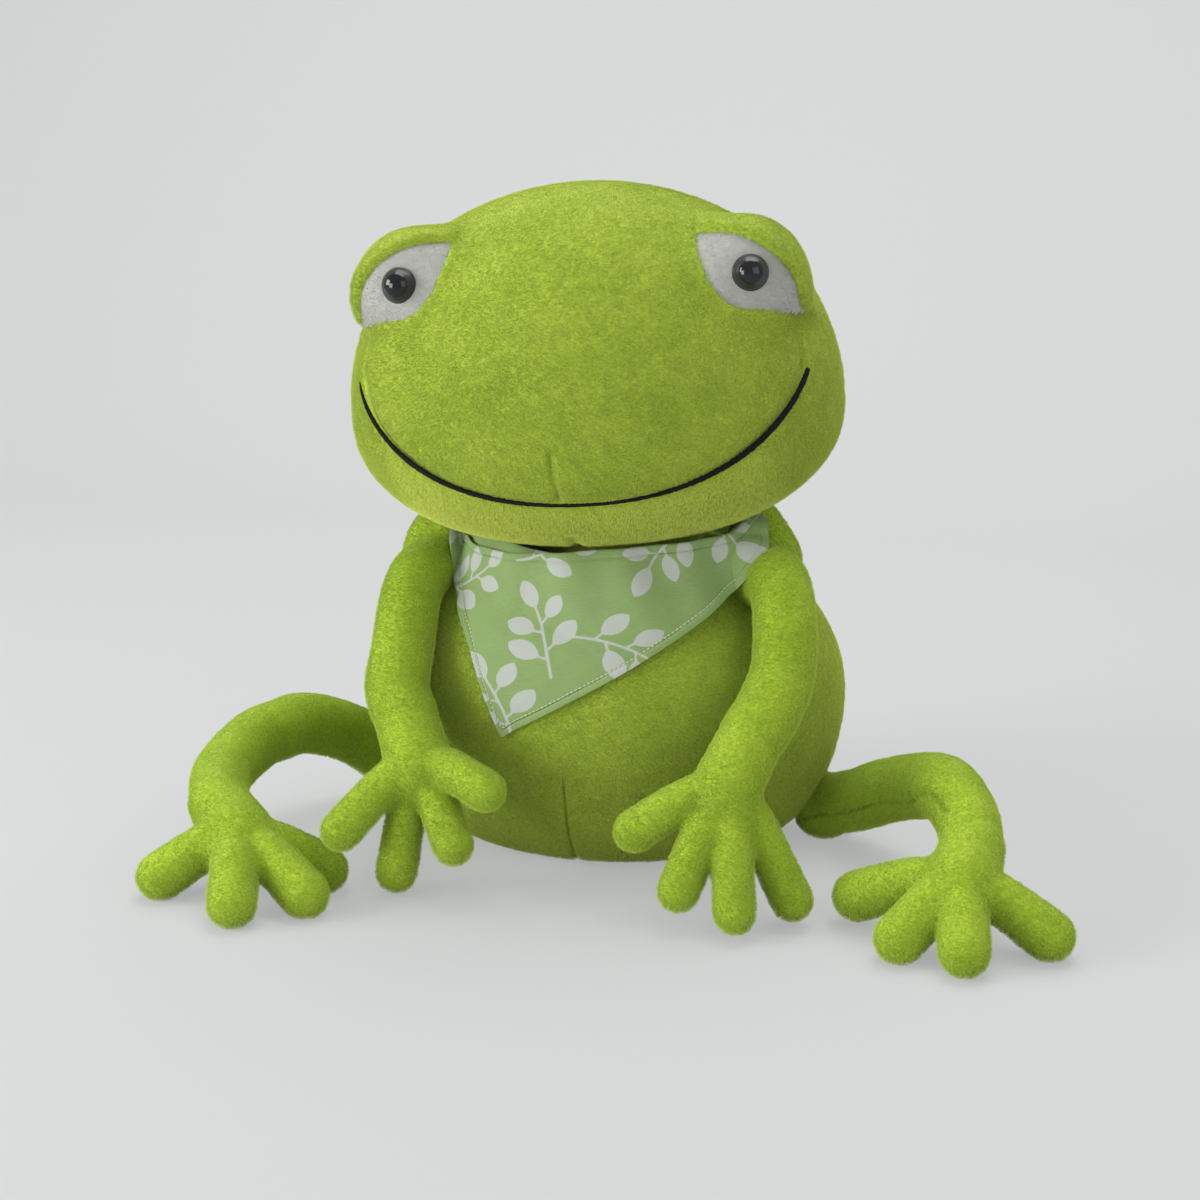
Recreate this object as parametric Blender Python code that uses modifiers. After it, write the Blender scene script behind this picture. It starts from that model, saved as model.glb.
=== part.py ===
"""Plush frog that sits on its seat, with long posable arms and legs and a bandana round its neck.

Metres, +Z up. The origin is the middle of the flat seat, on the floor. The frog faces -Y, so its left is +X.
"""

import math

import bmesh
import bpy
from mathutils import Matrix, Vector

# Driving dimensions, in metres

TORSO_WIDTH = 0.176
TORSO_DEPTH = 0.144
TORSO_HEIGHT = 0.115
FLOOR_DIP = 0.0005
CUT_OVERRUN = 0.004
SEAT_GAP = 0.0005
CLOTH_GAP = 0.0012
CLOTH_SHOULDER_GAP = 0.0020

HEAD_WIDTH = 0.181
HEAD_CROWN_HEIGHT = 0.076
HEAD_JAW_DEPTH = 0.048
HEAD_FACE_DEPTH = 0.076
HEAD_NAPE_DEPTH = 0.064
HEAD_RISE = 0.050
HEAD_FORWARD = 0.006
HEAD_SIDE_SHIFT = -0.002
JAW_FULLNESS = 2.5

NECK_RADIUS = 0.036
NECK_RISE = 0.002
NECK_GAP = 0.0008
HEAD_YAW = math.radians(6.0)
HEAD_ROLL = math.radians(-2.6)
HEAD_PITCH = math.radians(5.0)

EYE_MOUND_RADIUS = 0.0217
EYE_SPACING = 0.1145
EYE_RISE = 0.044
EYE_FORWARD = 0.024
EYE_PATCH_RADIUS = 0.0187
EYE_DIAMETER = 0.012
EYE_DOME_HEIGHT = 0.0052
EYE_SPLAY = math.radians(7.0)
EYE_DROOP = math.radians(-9.0)
LID_SPLAY = math.radians(13.0)
LID_DROOP = math.radians(4.0)
BROW_LIP = 0.0012
SHANK_RADIUS = 0.0016
SHANK_LENGTH = 0.0095
SHANK_CLEARANCE = 0.0004
WASHER_RADIUS = 0.0055
WASHER_THICKNESS = 0.0016
WASHER_DEPTH = 0.0055

MOUTH_WIDTH = 0.0024
MOUTH_THICKNESS = 0.0009
MOUTH_CORNER_ANGLE = math.radians(61.5)
MOUTH_CORNER_RISE = 0.011
MOUTH_DROP = 0.024
SMILE_SHARPNESS = 2.2

ARM_LENGTH = 0.088
ARM_ROOT_RADIUS = 0.0090
ARM_RADIUS = 0.0112
WRIST_RADIUS = 0.0106
HAND_LENGTH = 0.055
PALM_RADIUS = 0.0120
FINGER_ROOT_RADIUS = 0.0088
FINGER_RADIUS = 0.0084
SHOULDER_BALL_RADIUS = 0.0145
SHOULDER_STAND_OFF = 0.003
SHOULDER_ANGLE = math.radians(66.0)

LEG_LENGTH = 0.120
LEG_ROOT_RADIUS = 0.0095
THIGH_RADIUS = 0.0117
SHIN_RADIUS = 0.0112
ANKLE_RADIUS = 0.0102
FOOT_LENGTH = 0.055
SOLE_RADIUS = 0.0130
TOE_ROOT_RADIUS = 0.0100
TOE_RADIUS = 0.0104
HIP_BALL_RADIUS = 0.0125
HIP_STAND_OFF = 0.006
HIP_ANGLE = math.radians(90.0)

FABRIC_FACET = 0.0036
PAW_FACETS_KEPT_SHARE = 0.42
PAW_SOFTEN_SHARE = 0.5
PAW_SOFTEN_STEPS = 2
PAW_SHRINK = 0.0012

BEAN_BAG_WIDTH = 0.096
BEAN_BAG_DEPTH = 0.084
BEAN_BAG_HEIGHT = 0.034
BEAN_BAG_RISE = 0.030
CLOSING_SEAM_LENGTH = 0.040
CLOSING_SEAM_WIDTH = 0.0012

CLOTH_THICKNESS = 0.0010
CLOTH_FOLD_DEPTH = 0.0016
KNOT_WIDTH = 0.018
KNOT_HEIGHT = 0.015
KNOT_DEPTH = 0.012
TAIL_LENGTH = 0.030
TAIL_WIDTH = 0.012
TAIL_THICKNESS = 0.0014
TAIL_STAND_OFF = 0.010
TAIL_OFFSET = 0.0052
TAIL_SWING = math.radians(28.0)
TAIL_SPREAD = math.radians(20.0)

MERGE_DISTANCE = 0.00001
SHARP_ANGLE = math.radians(40.0)
TUBE_CAP_ANGLE = math.radians(80.0)
FLOOR_SLAB_WIDTH = 0.8
FLOOR_SLAB_DEPTH = 0.1

# Shares of the sizes above, chosen by hand

# The torso's outline from its seat to its neck: share of its half width, share of its height.
TORSO_OUTLINE_SHARES = (
    (0.0, 0.0), (0.38, 0.0), (0.65, 0.008), (0.83, 0.09), (0.95, 0.25), (1.0, 0.45), (0.97, 0.62),
    (0.86, 0.77), (0.70, 0.89), (0.48, 0.965), (0.24, 0.995), (0.0, 1.0),
)
SHOULDER_OUTLINE_SHARE = 0.71
HIP_OUTLINE_SHARE = 0.305

# Paths from the joint that carries the limb, as shares of the limb's length.
# Points 0, 2 and 4 of an arm are its shoulder, elbow and wrist.
ARM_PATH_SHARES = {
    "left": (
        (0, 0, 0), (0.170, -0.215, -0.010), (0.175, -0.392, -0.235), (0.132, -0.520, -0.364),
        (0.067, -0.636, -0.485),
    ),
    "right": (
        (0, 0, 0), (-0.104, -0.264, -0.070), (-0.046, -0.466, -0.282), (0.002, -0.560, -0.394),
        (0.069, -0.636, -0.497),
    ),
}
# Points 0, 3 and 6 of a leg are its hip, knee and ankle.
LEG_PATH_SHARES = {
    "left": (
        (0, 0, 0), (0.112, -0.083, 0.054), (0.204, -0.167, 0.117), (0.304, -0.283, 0.179),
        (0.405, -0.458, 0.236), (0.475, -0.575, 0.192), (0.500, -0.667, 0.142),
    ),
    "right": (
        (0, 0, 0), (-0.165, -0.055, 0.130), (-0.278, -0.190, 0.203), (-0.330, -0.290, 0.204),
        (-0.375, -0.375, 0.192), (-0.396, -0.567, 0.146), (-0.325, -0.767, 0.125),
    ),
}
# The middle of the palm and the ends of the digits, from the wrist or the ankle.
PALM_SHARES = {"left": (-0.080, -0.220, -0.200), "right": (0.136, -0.200, -0.190)}
FINGER_SHARES = {
    "left": (
        (-0.680, -0.345, -0.536), (-0.300, -0.490, -0.864), (0.027, -0.545, -0.960), (0.355, -0.236, -0.960),
    ),
    "right": (
        (0.690, -0.454, -0.284), (0.455, -0.436, -0.690), (0.010, -0.327, -0.960), (-0.290, -0.564, -0.610),
    ),
}
SOLE_SHARES = {"left": (-0.040, -0.254, -0.127), "right": (0.245, -0.254, -0.110)}
TOE_SHARES = {
    "left": (
        (-0.660, -0.060, -0.345), (-0.390, -0.620, -0.450), (0.020, -0.709, -0.450), (0.520, -0.327, -0.450),
    ),
    "right": (
        (0.805, -0.110, -0.450), (0.845, -0.564, -0.450), (0.445, -0.836, -0.450), (-0.227, -0.490, -0.450),
    ),
}
DIGIT_KNUCKLE_SHARE = 0.45
DIGIT_ARCH_SHARE = 0.06
DIGIT_WEB_SHARE = 0.22
JOINT_SWELL_SHARE = 1.08

# The bandana's edges. Each row: turn from the chest's middle, as a share of a half turn; height, as a share
# of the torso's; reach out from its middle line, as a share of the torso's half width and half depth.
BANDANA_TOP_SHARES = (
    (-0.94, 0.955, 0.62), (-0.70, 0.975, 0.60), (-0.47, 1.005, 0.60), (-0.31, 1.010, 0.64),
    (-0.16, 0.970, 0.71), (0.0, 0.950, 0.72), (0.17, 0.985, 0.72), (0.33, 1.060, 0.68),
    (0.42, 1.080, 0.66), (0.55, 1.030, 0.62), (0.70, 0.990, 0.60), (0.94, 0.955, 0.62),
)
BANDANA_HEM_SHARES = (
    (-0.94, 0.870, 0.76), (-0.70, 0.890, 0.72), (-0.47, 0.955, 0.62), (-0.34, 0.955, 0.66),
    (-0.25, 0.950, 0.70), (-0.20, 0.880, 0.76), (-0.144, 0.680, 0.93), (-0.078, 0.465, 1.0),
    (0.06, 0.600, 0.97), (0.22, 0.740, 0.88), (0.31, 0.890, 0.77), (0.37, 1.010, 0.72),
    (0.45, 1.030, 0.70), (0.55, 0.990, 0.68), (0.70, 0.905, 0.70), (0.94, 0.870, 0.76),
)
KNOT_HEIGHT_SHARE = 0.91
KNOT_REACH_SHARE = 0.70
CLOTH_RIPPLE_FROM_SHARE = 0.6
CLOTH_COLUMNS = 48
CLOTH_ROWS = 6
CLOTH_FOLDS = 7

FRAME_STEPS = 3
TUBE_SIDES_RESOLUTION = 4
TUBE_CAP_STEPS = 3
HEAD_SEGMENTS = 28
HEAD_RINGS = 20
TORSO_SEGMENTS = 28
TORSO_RINGS = 18
MOUND_SEGMENTS = 20
MOUND_RINGS = 12
BALL_SEGMENTS = 16
BALL_RINGS = 10
ELBOW_MARK = 2
KNEE_MARK = 3
ANKLE_TAPER_MARK = 2
NECK_SEGMENTS = 28
NECK_RINGS = 14
MOUTH_STEPS = 30
DOME_STEPS = 5
TURN_STEPS = 18

SIDES = {"left": 1, "right": -1}

# Each look: its colour and its roughness.
LOOKS = {
    "plush": ((0.33, 0.52, 0.045), 0.95),
    "brow_plush": ((0.30, 0.49, 0.045), 0.95),
    "limb_plush": ((0.31, 0.50, 0.045), 0.95),
    "paw_plush": ((0.34, 0.53, 0.05), 0.95),
    "white_fleece": ((0.78, 0.80, 0.82), 0.95),
    "black_plastic": ((0.006, 0.006, 0.008), 0.08),
    "washer_plastic": ((0.60, 0.60, 0.58), 0.4),
    "black_thread": ((0.008, 0.008, 0.010), 0.6),
    "cotton": ((0.36, 0.58, 0.24), 0.85),
    "lining": ((0.62, 0.60, 0.55), 0.9),
}


def clear_scene():
    for old in list(bpy.data.objects):
        bpy.data.objects.remove(old, do_unlink=True)


def new_collection(name):
    collection = bpy.data.collections.new(name)
    bpy.context.scene.collection.children.link(collection)
    return collection


def material(name, look):
    colour, roughness = LOOKS[look]
    made = bpy.data.materials.new(name)
    made.use_nodes = True
    shader = made.node_tree.nodes["Principled BSDF"]
    shader.inputs["Base Color"].default_value = (*colour, 1.0)
    shader.inputs["Roughness"].default_value = roughness
    return made


def add_object(name, mesh, look=None):
    """A shown piece when it has a look, otherwise a hidden cutter or helper."""
    made = bpy.data.objects.new(name, mesh)
    if look is None:
        CUTTERS.objects.link(made)
        made.hide_render = True
        made.display_type = "WIRE"
    else:
        PIECES.objects.link(made)
        mesh.materials.append(look)
    return made


def smooth_faces(mesh):
    mesh.shade_smooth()
    mesh.set_sharp_from_angle(angle=SHARP_ANGLE)


def mesh_of(name, build):
    """A mesh filled by build(bmesh), with its faces turned outward."""
    work = bmesh.new()
    build(work)
    bmesh.ops.recalc_face_normals(work, faces=work.faces)
    mesh = bpy.data.meshes.new(name)
    work.to_mesh(mesh)
    work.free()
    smooth_faces(mesh)
    return mesh


def ball_mesh(name, radius, segments=BALL_SEGMENTS, rings=BALL_RINGS, stretch=(1, 1, 1)):
    def build(work):
        bmesh.ops.create_uvsphere(work, u_segments=segments, v_segments=rings, radius=radius)
        bmesh.ops.scale(work, vec=stretch, verts=work.verts)
    return mesh_of(name, build)


def aimed_ball(name, radius, direction):
    """A ball with its poles along a direction, so that its facets match those of its socket."""
    mesh = ball_mesh(name, radius)
    mesh.transform(direction.to_track_quat("Z", "Y").to_matrix().to_4x4())
    return mesh


def rod_mesh(name, radius, length, segments=TURN_STEPS):
    def build(work):
        bmesh.ops.create_cone(
            work, cap_ends=True, segments=segments, radius1=radius, radius2=radius, depth=length
        )
    return mesh_of(name, build)


def box_mesh(name, size):
    def build(work):
        bmesh.ops.create_cube(work, size=1)
        bmesh.ops.scale(work, vec=size, verts=work.verts)
    return mesh_of(name, build)


def boolean(target, other, operation):
    modifier = target.modifiers.new(other.name, "BOOLEAN")
    modifier.operation = operation
    modifier.object = other
    return modifier


def grown_copy(obj, gap):
    """A cutter of the same form, grown by a gap all round."""
    cutter = add_object(obj.name + "_clearance", obj.data.copy())
    cutter.parent = obj.parent
    cutter.location = obj.location
    cutter.rotation_euler = obj.rotation_euler
    grow = cutter.modifiers.new("grow", "DISPLACE")
    grow.mid_level = 0
    grow.strength = gap
    return cutter


def smooth_path(points, steps):
    """Points along a Catmull-Rom curve through the given ones, with its ends carried straight on."""
    ahead = points[0] * 2 - points[1]
    beyond = points[-1] * 2 - points[-2]
    ring = [ahead, *points, beyond]
    path = []
    for p0, p1, p2, p3 in zip(ring, ring[1:], ring[2:], ring[3:]):
        for step in range(steps):
            t = step / steps
            path.append(
                (p1 * 2 + (p2 - p0) * t + (p0 * 2 - p1 * 5 + p2 * 4 - p3) * t**2
                 + (p1 * 3 - p0 - p2 * 3 + p3) * t**3) / 2
            )
    path.append(points[-1])
    return path


def tube_mesh(name, points, radii, round_end=False):
    """A swelling tube as a bevelled curve made into a mesh. round_end adds a dome of the last radius."""
    points = [Vector(point) for point in points]
    radii = list(radii)
    if round_end:
        onward = (points[-1] - points[-2]).normalized()
        centre = points[-1].copy()
        last = radii[-1]
        for step in range(1, TUBE_CAP_STEPS + 1):
            angle = TUBE_CAP_ANGLE * step / TUBE_CAP_STEPS
            points.append(centre + onward * last * math.sin(angle))
            radii.append(last * math.cos(angle))
    thickest = max(radii)
    curve = bpy.data.curves.new(name + "_curve", "CURVE")
    curve.dimensions = "3D"
    curve.bevel_depth = thickest
    curve.bevel_resolution = TUBE_SIDES_RESOLUTION
    curve.use_fill_caps = True
    line = curve.splines.new("POLY")
    line.points.add(len(points) - 1)
    for knot, point, radius in zip(line.points, points, radii):
        knot.co = (*point, 1)
        knot.radius = radius / thickest
    guide = bpy.data.objects.new(name + "_guide", curve)
    CUTTERS.objects.link(guide)
    graph = bpy.context.evaluated_depsgraph_get()
    mesh = bpy.data.meshes.new_from_object(guide.evaluated_get(graph))
    bpy.data.objects.remove(guide)
    work = bmesh.new()
    work.from_mesh(mesh)
    bmesh.ops.remove_doubles(work, verts=work.verts, dist=MERGE_DISTANCE)
    bmesh.ops.recalc_face_normals(work, faces=work.faces)
    work.to_mesh(mesh)
    work.free()
    mesh.name = name
    smooth_faces(mesh)
    return mesh


def joined_mesh(name, meshes):
    """Several overlapping closed meshes as one mesh, for a voxel remesh to fuse."""
    work = bmesh.new()
    for part in meshes:
        work.from_mesh(part)
        bpy.data.meshes.remove(part)
    mesh = bpy.data.meshes.new(name)
    work.to_mesh(mesh)
    work.free()
    return mesh


def edge_at(table, turn):
    """Height and reach of one of the bandana's edges at a turn, on a curve through the table's rows."""
    path = smooth_path([Vector(row) for row in table], FRAME_STEPS)
    for before, after in zip(path, path[1:]):
        if turn <= after.x:
            part = (turn - before.x) / (after.x - before.x)
            return before.lerp(after, max(part, 0)).yz
    return path[-1].yz


def torso_outline(share):
    """Radius and height on the torso's outline, at a share of the way from seat to neck."""
    rows = [Vector((*row, 0)) for row in TORSO_OUTLINE_SHARES]
    path = smooth_path(rows, FRAME_STEPS)
    place = share * (len(path) - 1)
    index = min(int(place), len(path) - 2)
    point = path[index].lerp(path[index + 1], place - index)
    return max(point.x, 0), point.y


def torso_point(share, angle):
    """A point on the torso, at an angle from its front towards its left."""
    radius, height = torso_outline(share)
    return Vector((
        radius * TORSO_WIDTH / 2 * math.sin(angle),
        -radius * TORSO_DEPTH / 2 * math.cos(angle),
        height * (TORSO_HEIGHT + FLOOR_DIP) - FLOOR_DIP,
    ))


def torso_normal(share, angle):
    step = 1 / TORSO_RINGS / FRAME_STEPS
    up = torso_point(share + step, angle) - torso_point(share - step, angle)
    turn = math.tau / TORSO_SEGMENTS / FRAME_STEPS
    across = torso_point(share, angle + turn) - torso_point(share, angle - turn)
    return across.cross(up).normalized()


def torso_radius_at(height_share):
    """Share of the torso's half width at a share of its height, on its upper side."""
    rings = TORSO_RINGS * FRAME_STEPS
    outline = [torso_outline(step / rings) for step in range(rings + 1)]
    for (radius, height), (next_radius, next_height) in zip(outline, outline[1:]):
        if next_height >= height_share > height:
            part = (height_share - height) / (next_height - height)
            return radius + (next_radius - radius) * part
    return 0


def seat_on_torso(side, share, angle, stand_off):
    """The middle of a limb's ball on the torso, and the way out of the torso there."""
    out = torso_normal(share, angle * SIDES[side])
    return torso_point(share, angle * SIDES[side]) + out * stand_off, out


def shoulder_seat(side):
    return seat_on_torso(side, SHOULDER_OUTLINE_SHARE, SHOULDER_ANGLE, SHOULDER_STAND_OFF)


def hip_seat(side):
    return seat_on_torso(side, HIP_OUTLINE_SHARE, HIP_ANGLE, HIP_STAND_OFF)


def joint_empty(name, location, parent=None, rotation=(0, 0, 0)):
    """An empty on a joint, so that what hangs on it turns about it."""
    empty = bpy.data.objects.new(name, None)
    PIECES.objects.link(empty)
    empty.empty_display_size = NECK_RADIUS
    empty.parent = parent
    empty.location = location
    empty.rotation_euler = rotation
    return empty


def cut_by_floor(piece):
    boolean(piece, FLOOR, "DIFFERENCE")


# Torso and bean bag

def torso_form(name):
    def build(work):
        bmesh.ops.create_uvsphere(work, u_segments=TORSO_SEGMENTS, v_segments=TORSO_RINGS, radius=1)
        for vertex in work.verts:
            polar = math.acos(max(-1.0, min(1.0, -vertex.co.z)))
            angle = math.atan2(vertex.co.x, -vertex.co.y)
            vertex.co = torso_point(polar / math.pi, angle)
    return mesh_of(name, build)


def build_torso():
    torso = add_object("torso", torso_form("torso"), material("torso_plush", "plush"))
    neck_socket = add_object("neck_socket", neck_ball("neck_socket", NECK_GAP))
    neck_socket.location = NECK_CENTRE
    for side in SIDES:
        for name, (centre, out), radius in (
            ("shoulder", shoulder_seat(side), SHOULDER_BALL_RADIUS),
            ("hip", hip_seat(side), HIP_BALL_RADIUS),
        ):
            socket = f"{name}_socket_{side}"
            cutter = add_object(socket, aimed_ball(socket, radius + SEAT_GAP, out))
            cutter.location = centre
            boolean(torso, cutter, "DIFFERENCE")
    boolean(torso, neck_socket, "DIFFERENCE")
    build_bean_bag(torso)
    cut_by_floor(torso)
    return torso


def build_bean_bag(torso):
    """The bag of beans that weighs the seat down, in a pocket that the closing seam opens into."""
    stretch = Vector((BEAN_BAG_WIDTH, BEAN_BAG_DEPTH, BEAN_BAG_HEIGHT)) / 2
    bag = add_object(
        "seat_bean_bag", ball_mesh("seat_bean_bag", 1, stretch=stretch), material("bean_bag_cloth", "lining")
    )
    bag.location = (0, 0, BEAN_BAG_RISE)
    pocket = grown_copy(bag, SEAT_GAP)
    slit = add_object(
        "closing_seam", box_mesh("closing_seam", (CLOSING_SEAM_LENGTH, TORSO_DEPTH, CLOSING_SEAM_WIDTH))
    )
    slit.location = (0, TORSO_DEPTH / 2, BEAN_BAG_RISE)
    boolean(torso, pocket, "DIFFERENCE")
    boolean(torso, slit, "DIFFERENCE")


def neck_ball(name, gap=0.0):
    return ball_mesh(name, NECK_RADIUS + gap, NECK_SEGMENTS, NECK_RINGS)


def build_neck():
    neck = add_object("neck", neck_ball("neck"), material("neck_plush", "plush"))
    neck.parent = joint_empty("neck_turn", NECK_CENTRE)
    return neck


# Head and face, about the neck's middle, before the head is turned and tilted

def head_point(direction):
    """The head's surface in a direction from its middle, in the head's own axes."""
    depth = HEAD_FACE_DEPTH if direction.y < 0 else HEAD_NAPE_DEPTH
    level = (direction.x / (HEAD_WIDTH / 2)) ** 2 + (direction.y / depth) ** 2
    if direction.z >= 0:
        reach = (level + (direction.z / HEAD_CROWN_HEIGHT) ** 2) ** -0.5
    else:
        drop = abs(direction.z / HEAD_JAW_DEPTH) ** JAW_FULLNESS
        reach = (level ** (JAW_FULLNESS / 2) + drop) ** (-1 / JAW_FULLNESS)
    return HEAD_CENTRE + direction * reach


def build_head(pivot):
    def build(work):
        bmesh.ops.create_uvsphere(work, u_segments=HEAD_SEGMENTS, v_segments=HEAD_RINGS, radius=1)
        stretch = Vector((HEAD_WIDTH / 2, HEAD_FACE_DEPTH, HEAD_CROWN_HEIGHT))
        for vertex in work.verts:
            vertex.co = head_point((vertex.co * stretch).normalized())
    head = add_object("head", mesh_of("head", build), material("head_plush", "plush"))
    head.parent = pivot
    socket = add_object("head_socket", neck_ball("head_socket", NECK_GAP))
    socket.parent = pivot
    return head


def place_on_eye(piece, pivot, side, along=0.0, splay=EYE_SPLAY, droop=EYE_DROOP):
    """Puts a piece at the middle of an eye's mound, its +Z turned outward and down by the two angles."""
    centre = HEAD_CENTRE + Vector((EYE_SPACING / 2 * SIDES[side], -EYE_FORWARD, EYE_RISE))
    sight = Vector((
        math.sin(splay) * SIDES[side], -math.cos(splay) * math.cos(droop), -math.sin(droop),
    )).normalized()
    turn = sight.to_track_quat("Z", "Y").to_matrix().to_4x4()
    piece.parent = pivot
    piece.matrix_local = Matrix.Translation(centre) @ turn @ Matrix.Translation((0, 0, along))


def half_ball_mesh(name, radius, level, keep_above):
    """A ball cut by the plane z = level, with the cut closed, keeping one side."""
    def build(work):
        bmesh.ops.create_uvsphere(work, u_segments=MOUND_SEGMENTS, v_segments=MOUND_RINGS, radius=radius)
        cut = bmesh.ops.bisect_plane(
            work, geom=work.verts[:] + work.edges[:] + work.faces[:], plane_co=(0, 0, level),
            plane_no=(0, 0, 1), clear_inner=keep_above, clear_outer=not keep_above,
        )
        edges = [item for item in cut["geom_cut"] if isinstance(item, bmesh.types.BMEdge)]
        bmesh.ops.contextual_create(work, geom=edges)
    return mesh_of(name, build)


def eye_profile():
    """Half section of a safety eye: dome, flat back and shank, from the tip of the dome down."""
    radius = EYE_DIAMETER / 2
    bulge = (radius**2 + EYE_DOME_HEIGHT**2) / (2 * EYE_DOME_HEIGHT)
    widest = math.asin(radius / bulge)
    dome = []
    for step in range(DOME_STEPS + 1):
        angle = widest * step / DOME_STEPS
        dome.append((bulge * math.sin(angle), EYE_DOME_HEIGHT - bulge * (1 - math.cos(angle))))
    return dome + [(SHANK_RADIUS, 0), (SHANK_RADIUS, -SHANK_LENGTH), (0, -SHANK_LENGTH)]


def turned_mesh(name, profile):
    def build(work):
        verts = [work.verts.new((radius, 0, height)) for radius, height in profile]
        edges = [work.edges.new(pair) for pair in zip(verts, verts[1:])]
        bmesh.ops.spin(
            work, geom=verts + edges, cent=(0, 0, 0), axis=(0, 0, 1), angle=math.tau, steps=TURN_STEPS
        )
        bmesh.ops.remove_doubles(work, verts=work.verts, dist=MERGE_DISTANCE)
    return mesh_of(name, build)


def build_eye(pivot, head, head_clearance, side):
    """White fleece patch, plush brow, black safety eye and the washer that locks its shank inside."""
    patch_level = math.sqrt(EYE_MOUND_RADIUS**2 - EYE_PATCH_RADIUS**2)
    patch = add_object(
        f"eye_patch_{side}",
        half_ball_mesh(f"eye_patch_{side}", EYE_MOUND_RADIUS, patch_level, True),
        material(f"white_fleece_{side}", "white_fleece"),
    )
    brow = add_object(
        f"brow_{side}",
        half_ball_mesh(f"brow_{side}", EYE_MOUND_RADIUS + BROW_LIP, patch_level - SEAT_GAP, False),
        material(f"brow_plush_{side}", "brow_plush"),
    )
    eye = add_object(
        f"eye_{side}", turned_mesh(f"eye_{side}", eye_profile()),
        material(f"eye_plastic_{side}", "black_plastic"),
    )
    washer = add_object(
        f"eye_washer_{side}", washer_mesh(f"eye_washer_{side}"),
        material(f"washer_plastic_{side}", "washer_plastic"),
    )
    flat = EYE_MOUND_RADIUS - EYE_DIAMETER**2 / (8 * EYE_MOUND_RADIUS)
    washer_level = EYE_MOUND_RADIUS - WASHER_DEPTH
    for piece in (patch, brow):
        place_on_eye(piece, pivot, side, splay=LID_SPLAY, droop=LID_DROOP)
    place_on_eye(eye, pivot, side, flat + SEAT_GAP)
    place_on_eye(washer, pivot, side, washer_level)
    hole = add_object(
        f"shank_hole_{side}",
        rod_mesh(f"shank_hole_{side}", SHANK_RADIUS + SHANK_CLEARANCE, EYE_MOUND_RADIUS),
    )
    pocket = add_object(
        f"washer_pocket_{side}",
        rod_mesh(f"washer_pocket_{side}", WASHER_RADIUS + SEAT_GAP, WASHER_THICKNESS + SEAT_GAP * 2),
    )
    recess = add_object(
        f"eye_recess_{side}", rod_mesh(f"eye_recess_{side}", EYE_DIAMETER / 2 + SEAT_GAP, CUT_OVERRUN)
    )
    place_on_eye(hole, pivot, side, EYE_MOUND_RADIUS)
    place_on_eye(pocket, pivot, side, washer_level)
    place_on_eye(recess, pivot, side, flat + CUT_OVERRUN / 2)
    for piece in (patch, brow):
        boolean(piece, head_clearance, "DIFFERENCE")
    for piece in (head, patch, brow):
        for cutter in (hole, pocket, recess):
            boolean(piece, cutter, "DIFFERENCE")


def washer_mesh(name):
    """A flat ring that grips the shank."""
    bore = SHANK_RADIUS + SHANK_CLEARANCE
    half = WASHER_THICKNESS / 2
    profile = [(bore, half), (WASHER_RADIUS, half), (WASHER_RADIUS, -half), (bore, -half), (bore, half)]
    return turned_mesh(name, profile)


def mouth_point(share, width_share):
    """A point of the smile, from its right corner (share -1) to its left (share 1), laid on the head."""
    angle = MOUTH_CORNER_ANGLE * share
    reach = HEAD_FACE_DEPTH * math.cos(angle)
    across = HEAD_WIDTH / 2 * math.sin(angle)
    height = -MOUTH_DROP + (MOUTH_DROP + MOUTH_CORNER_RISE) * abs(share) ** SMILE_SHARPNESS
    height += MOUTH_WIDTH * width_share
    direction = Vector((across, -reach, height))
    return head_point(direction.normalized())


def build_mouth(pivot):
    """The stitched line of the smile, as a narrow band that stands on the plush."""
    def build(work):
        rows = []
        for step in range(MOUTH_STEPS + 1):
            share = 2 * step / MOUTH_STEPS - 1
            low = mouth_point(share, -0.5)
            high = mouth_point(share, 0.5)
            out = ((low + high) / 2 - HEAD_CENTRE).normalized()
            rows.append([
                work.verts.new(point + out * level)
                for level in (SEAT_GAP, SEAT_GAP + MOUTH_THICKNESS) for point in (low, high)
            ])
        for before, after in zip(rows, rows[1:]):
            for one, two in ((0, 1), (1, 3), (3, 2), (2, 0)):
                work.faces.new((before[one], before[two], after[two], after[one]))
        for row in (rows[0], rows[-1]):
            work.faces.new((row[0], row[1], row[3], row[2]))
    mouth = add_object(
        "mouth_stitching", mesh_of("mouth_stitching", build), material("mouth_thread", "black_thread")
    )
    mouth.parent = pivot


# Arms and legs

def limb_points(shares, length, root):
    return [root + Vector(share) * length for share in shares]


def limb_segment(name, look, path, radii, ball, socket, floor=False, parent=None):
    """A stretch of a limb: a ball on its joint, a tube from there, and the next joint's socket at its end.

    Ball and socket are each a radius and a direction."""
    root = path[0]
    local = [point - root for point in path]
    piece = add_object(name, tube_mesh(name, local, radii), look)
    root_ball = add_object(f"{name}_ball", aimed_ball(f"{name}_ball", *ball))
    seat_limb(piece, root_ball, root, parent)
    boolean(piece, root_ball, "UNION")
    radius, direction = socket
    cutter = add_object(f"{name}_socket", aimed_ball(f"{name}_socket", radius + SEAT_GAP, direction))
    cutter.parent = piece
    cutter.location = local[-1]
    boolean(piece, cutter, "DIFFERENCE")
    if floor:
        cut_by_floor(piece)
    return piece


def seat_limb(piece, ball, root, parent):
    ball.parent = piece
    if parent is None:
        piece.location = root
    else:
        piece.parent = parent
        piece.location = root - world_place(parent)


def world_place(obj):
    """The place of an object whose parents are only moved, not turned."""
    place = obj.location.copy()
    if obj.parent:
        place += world_place(obj.parent)
    return place


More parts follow.
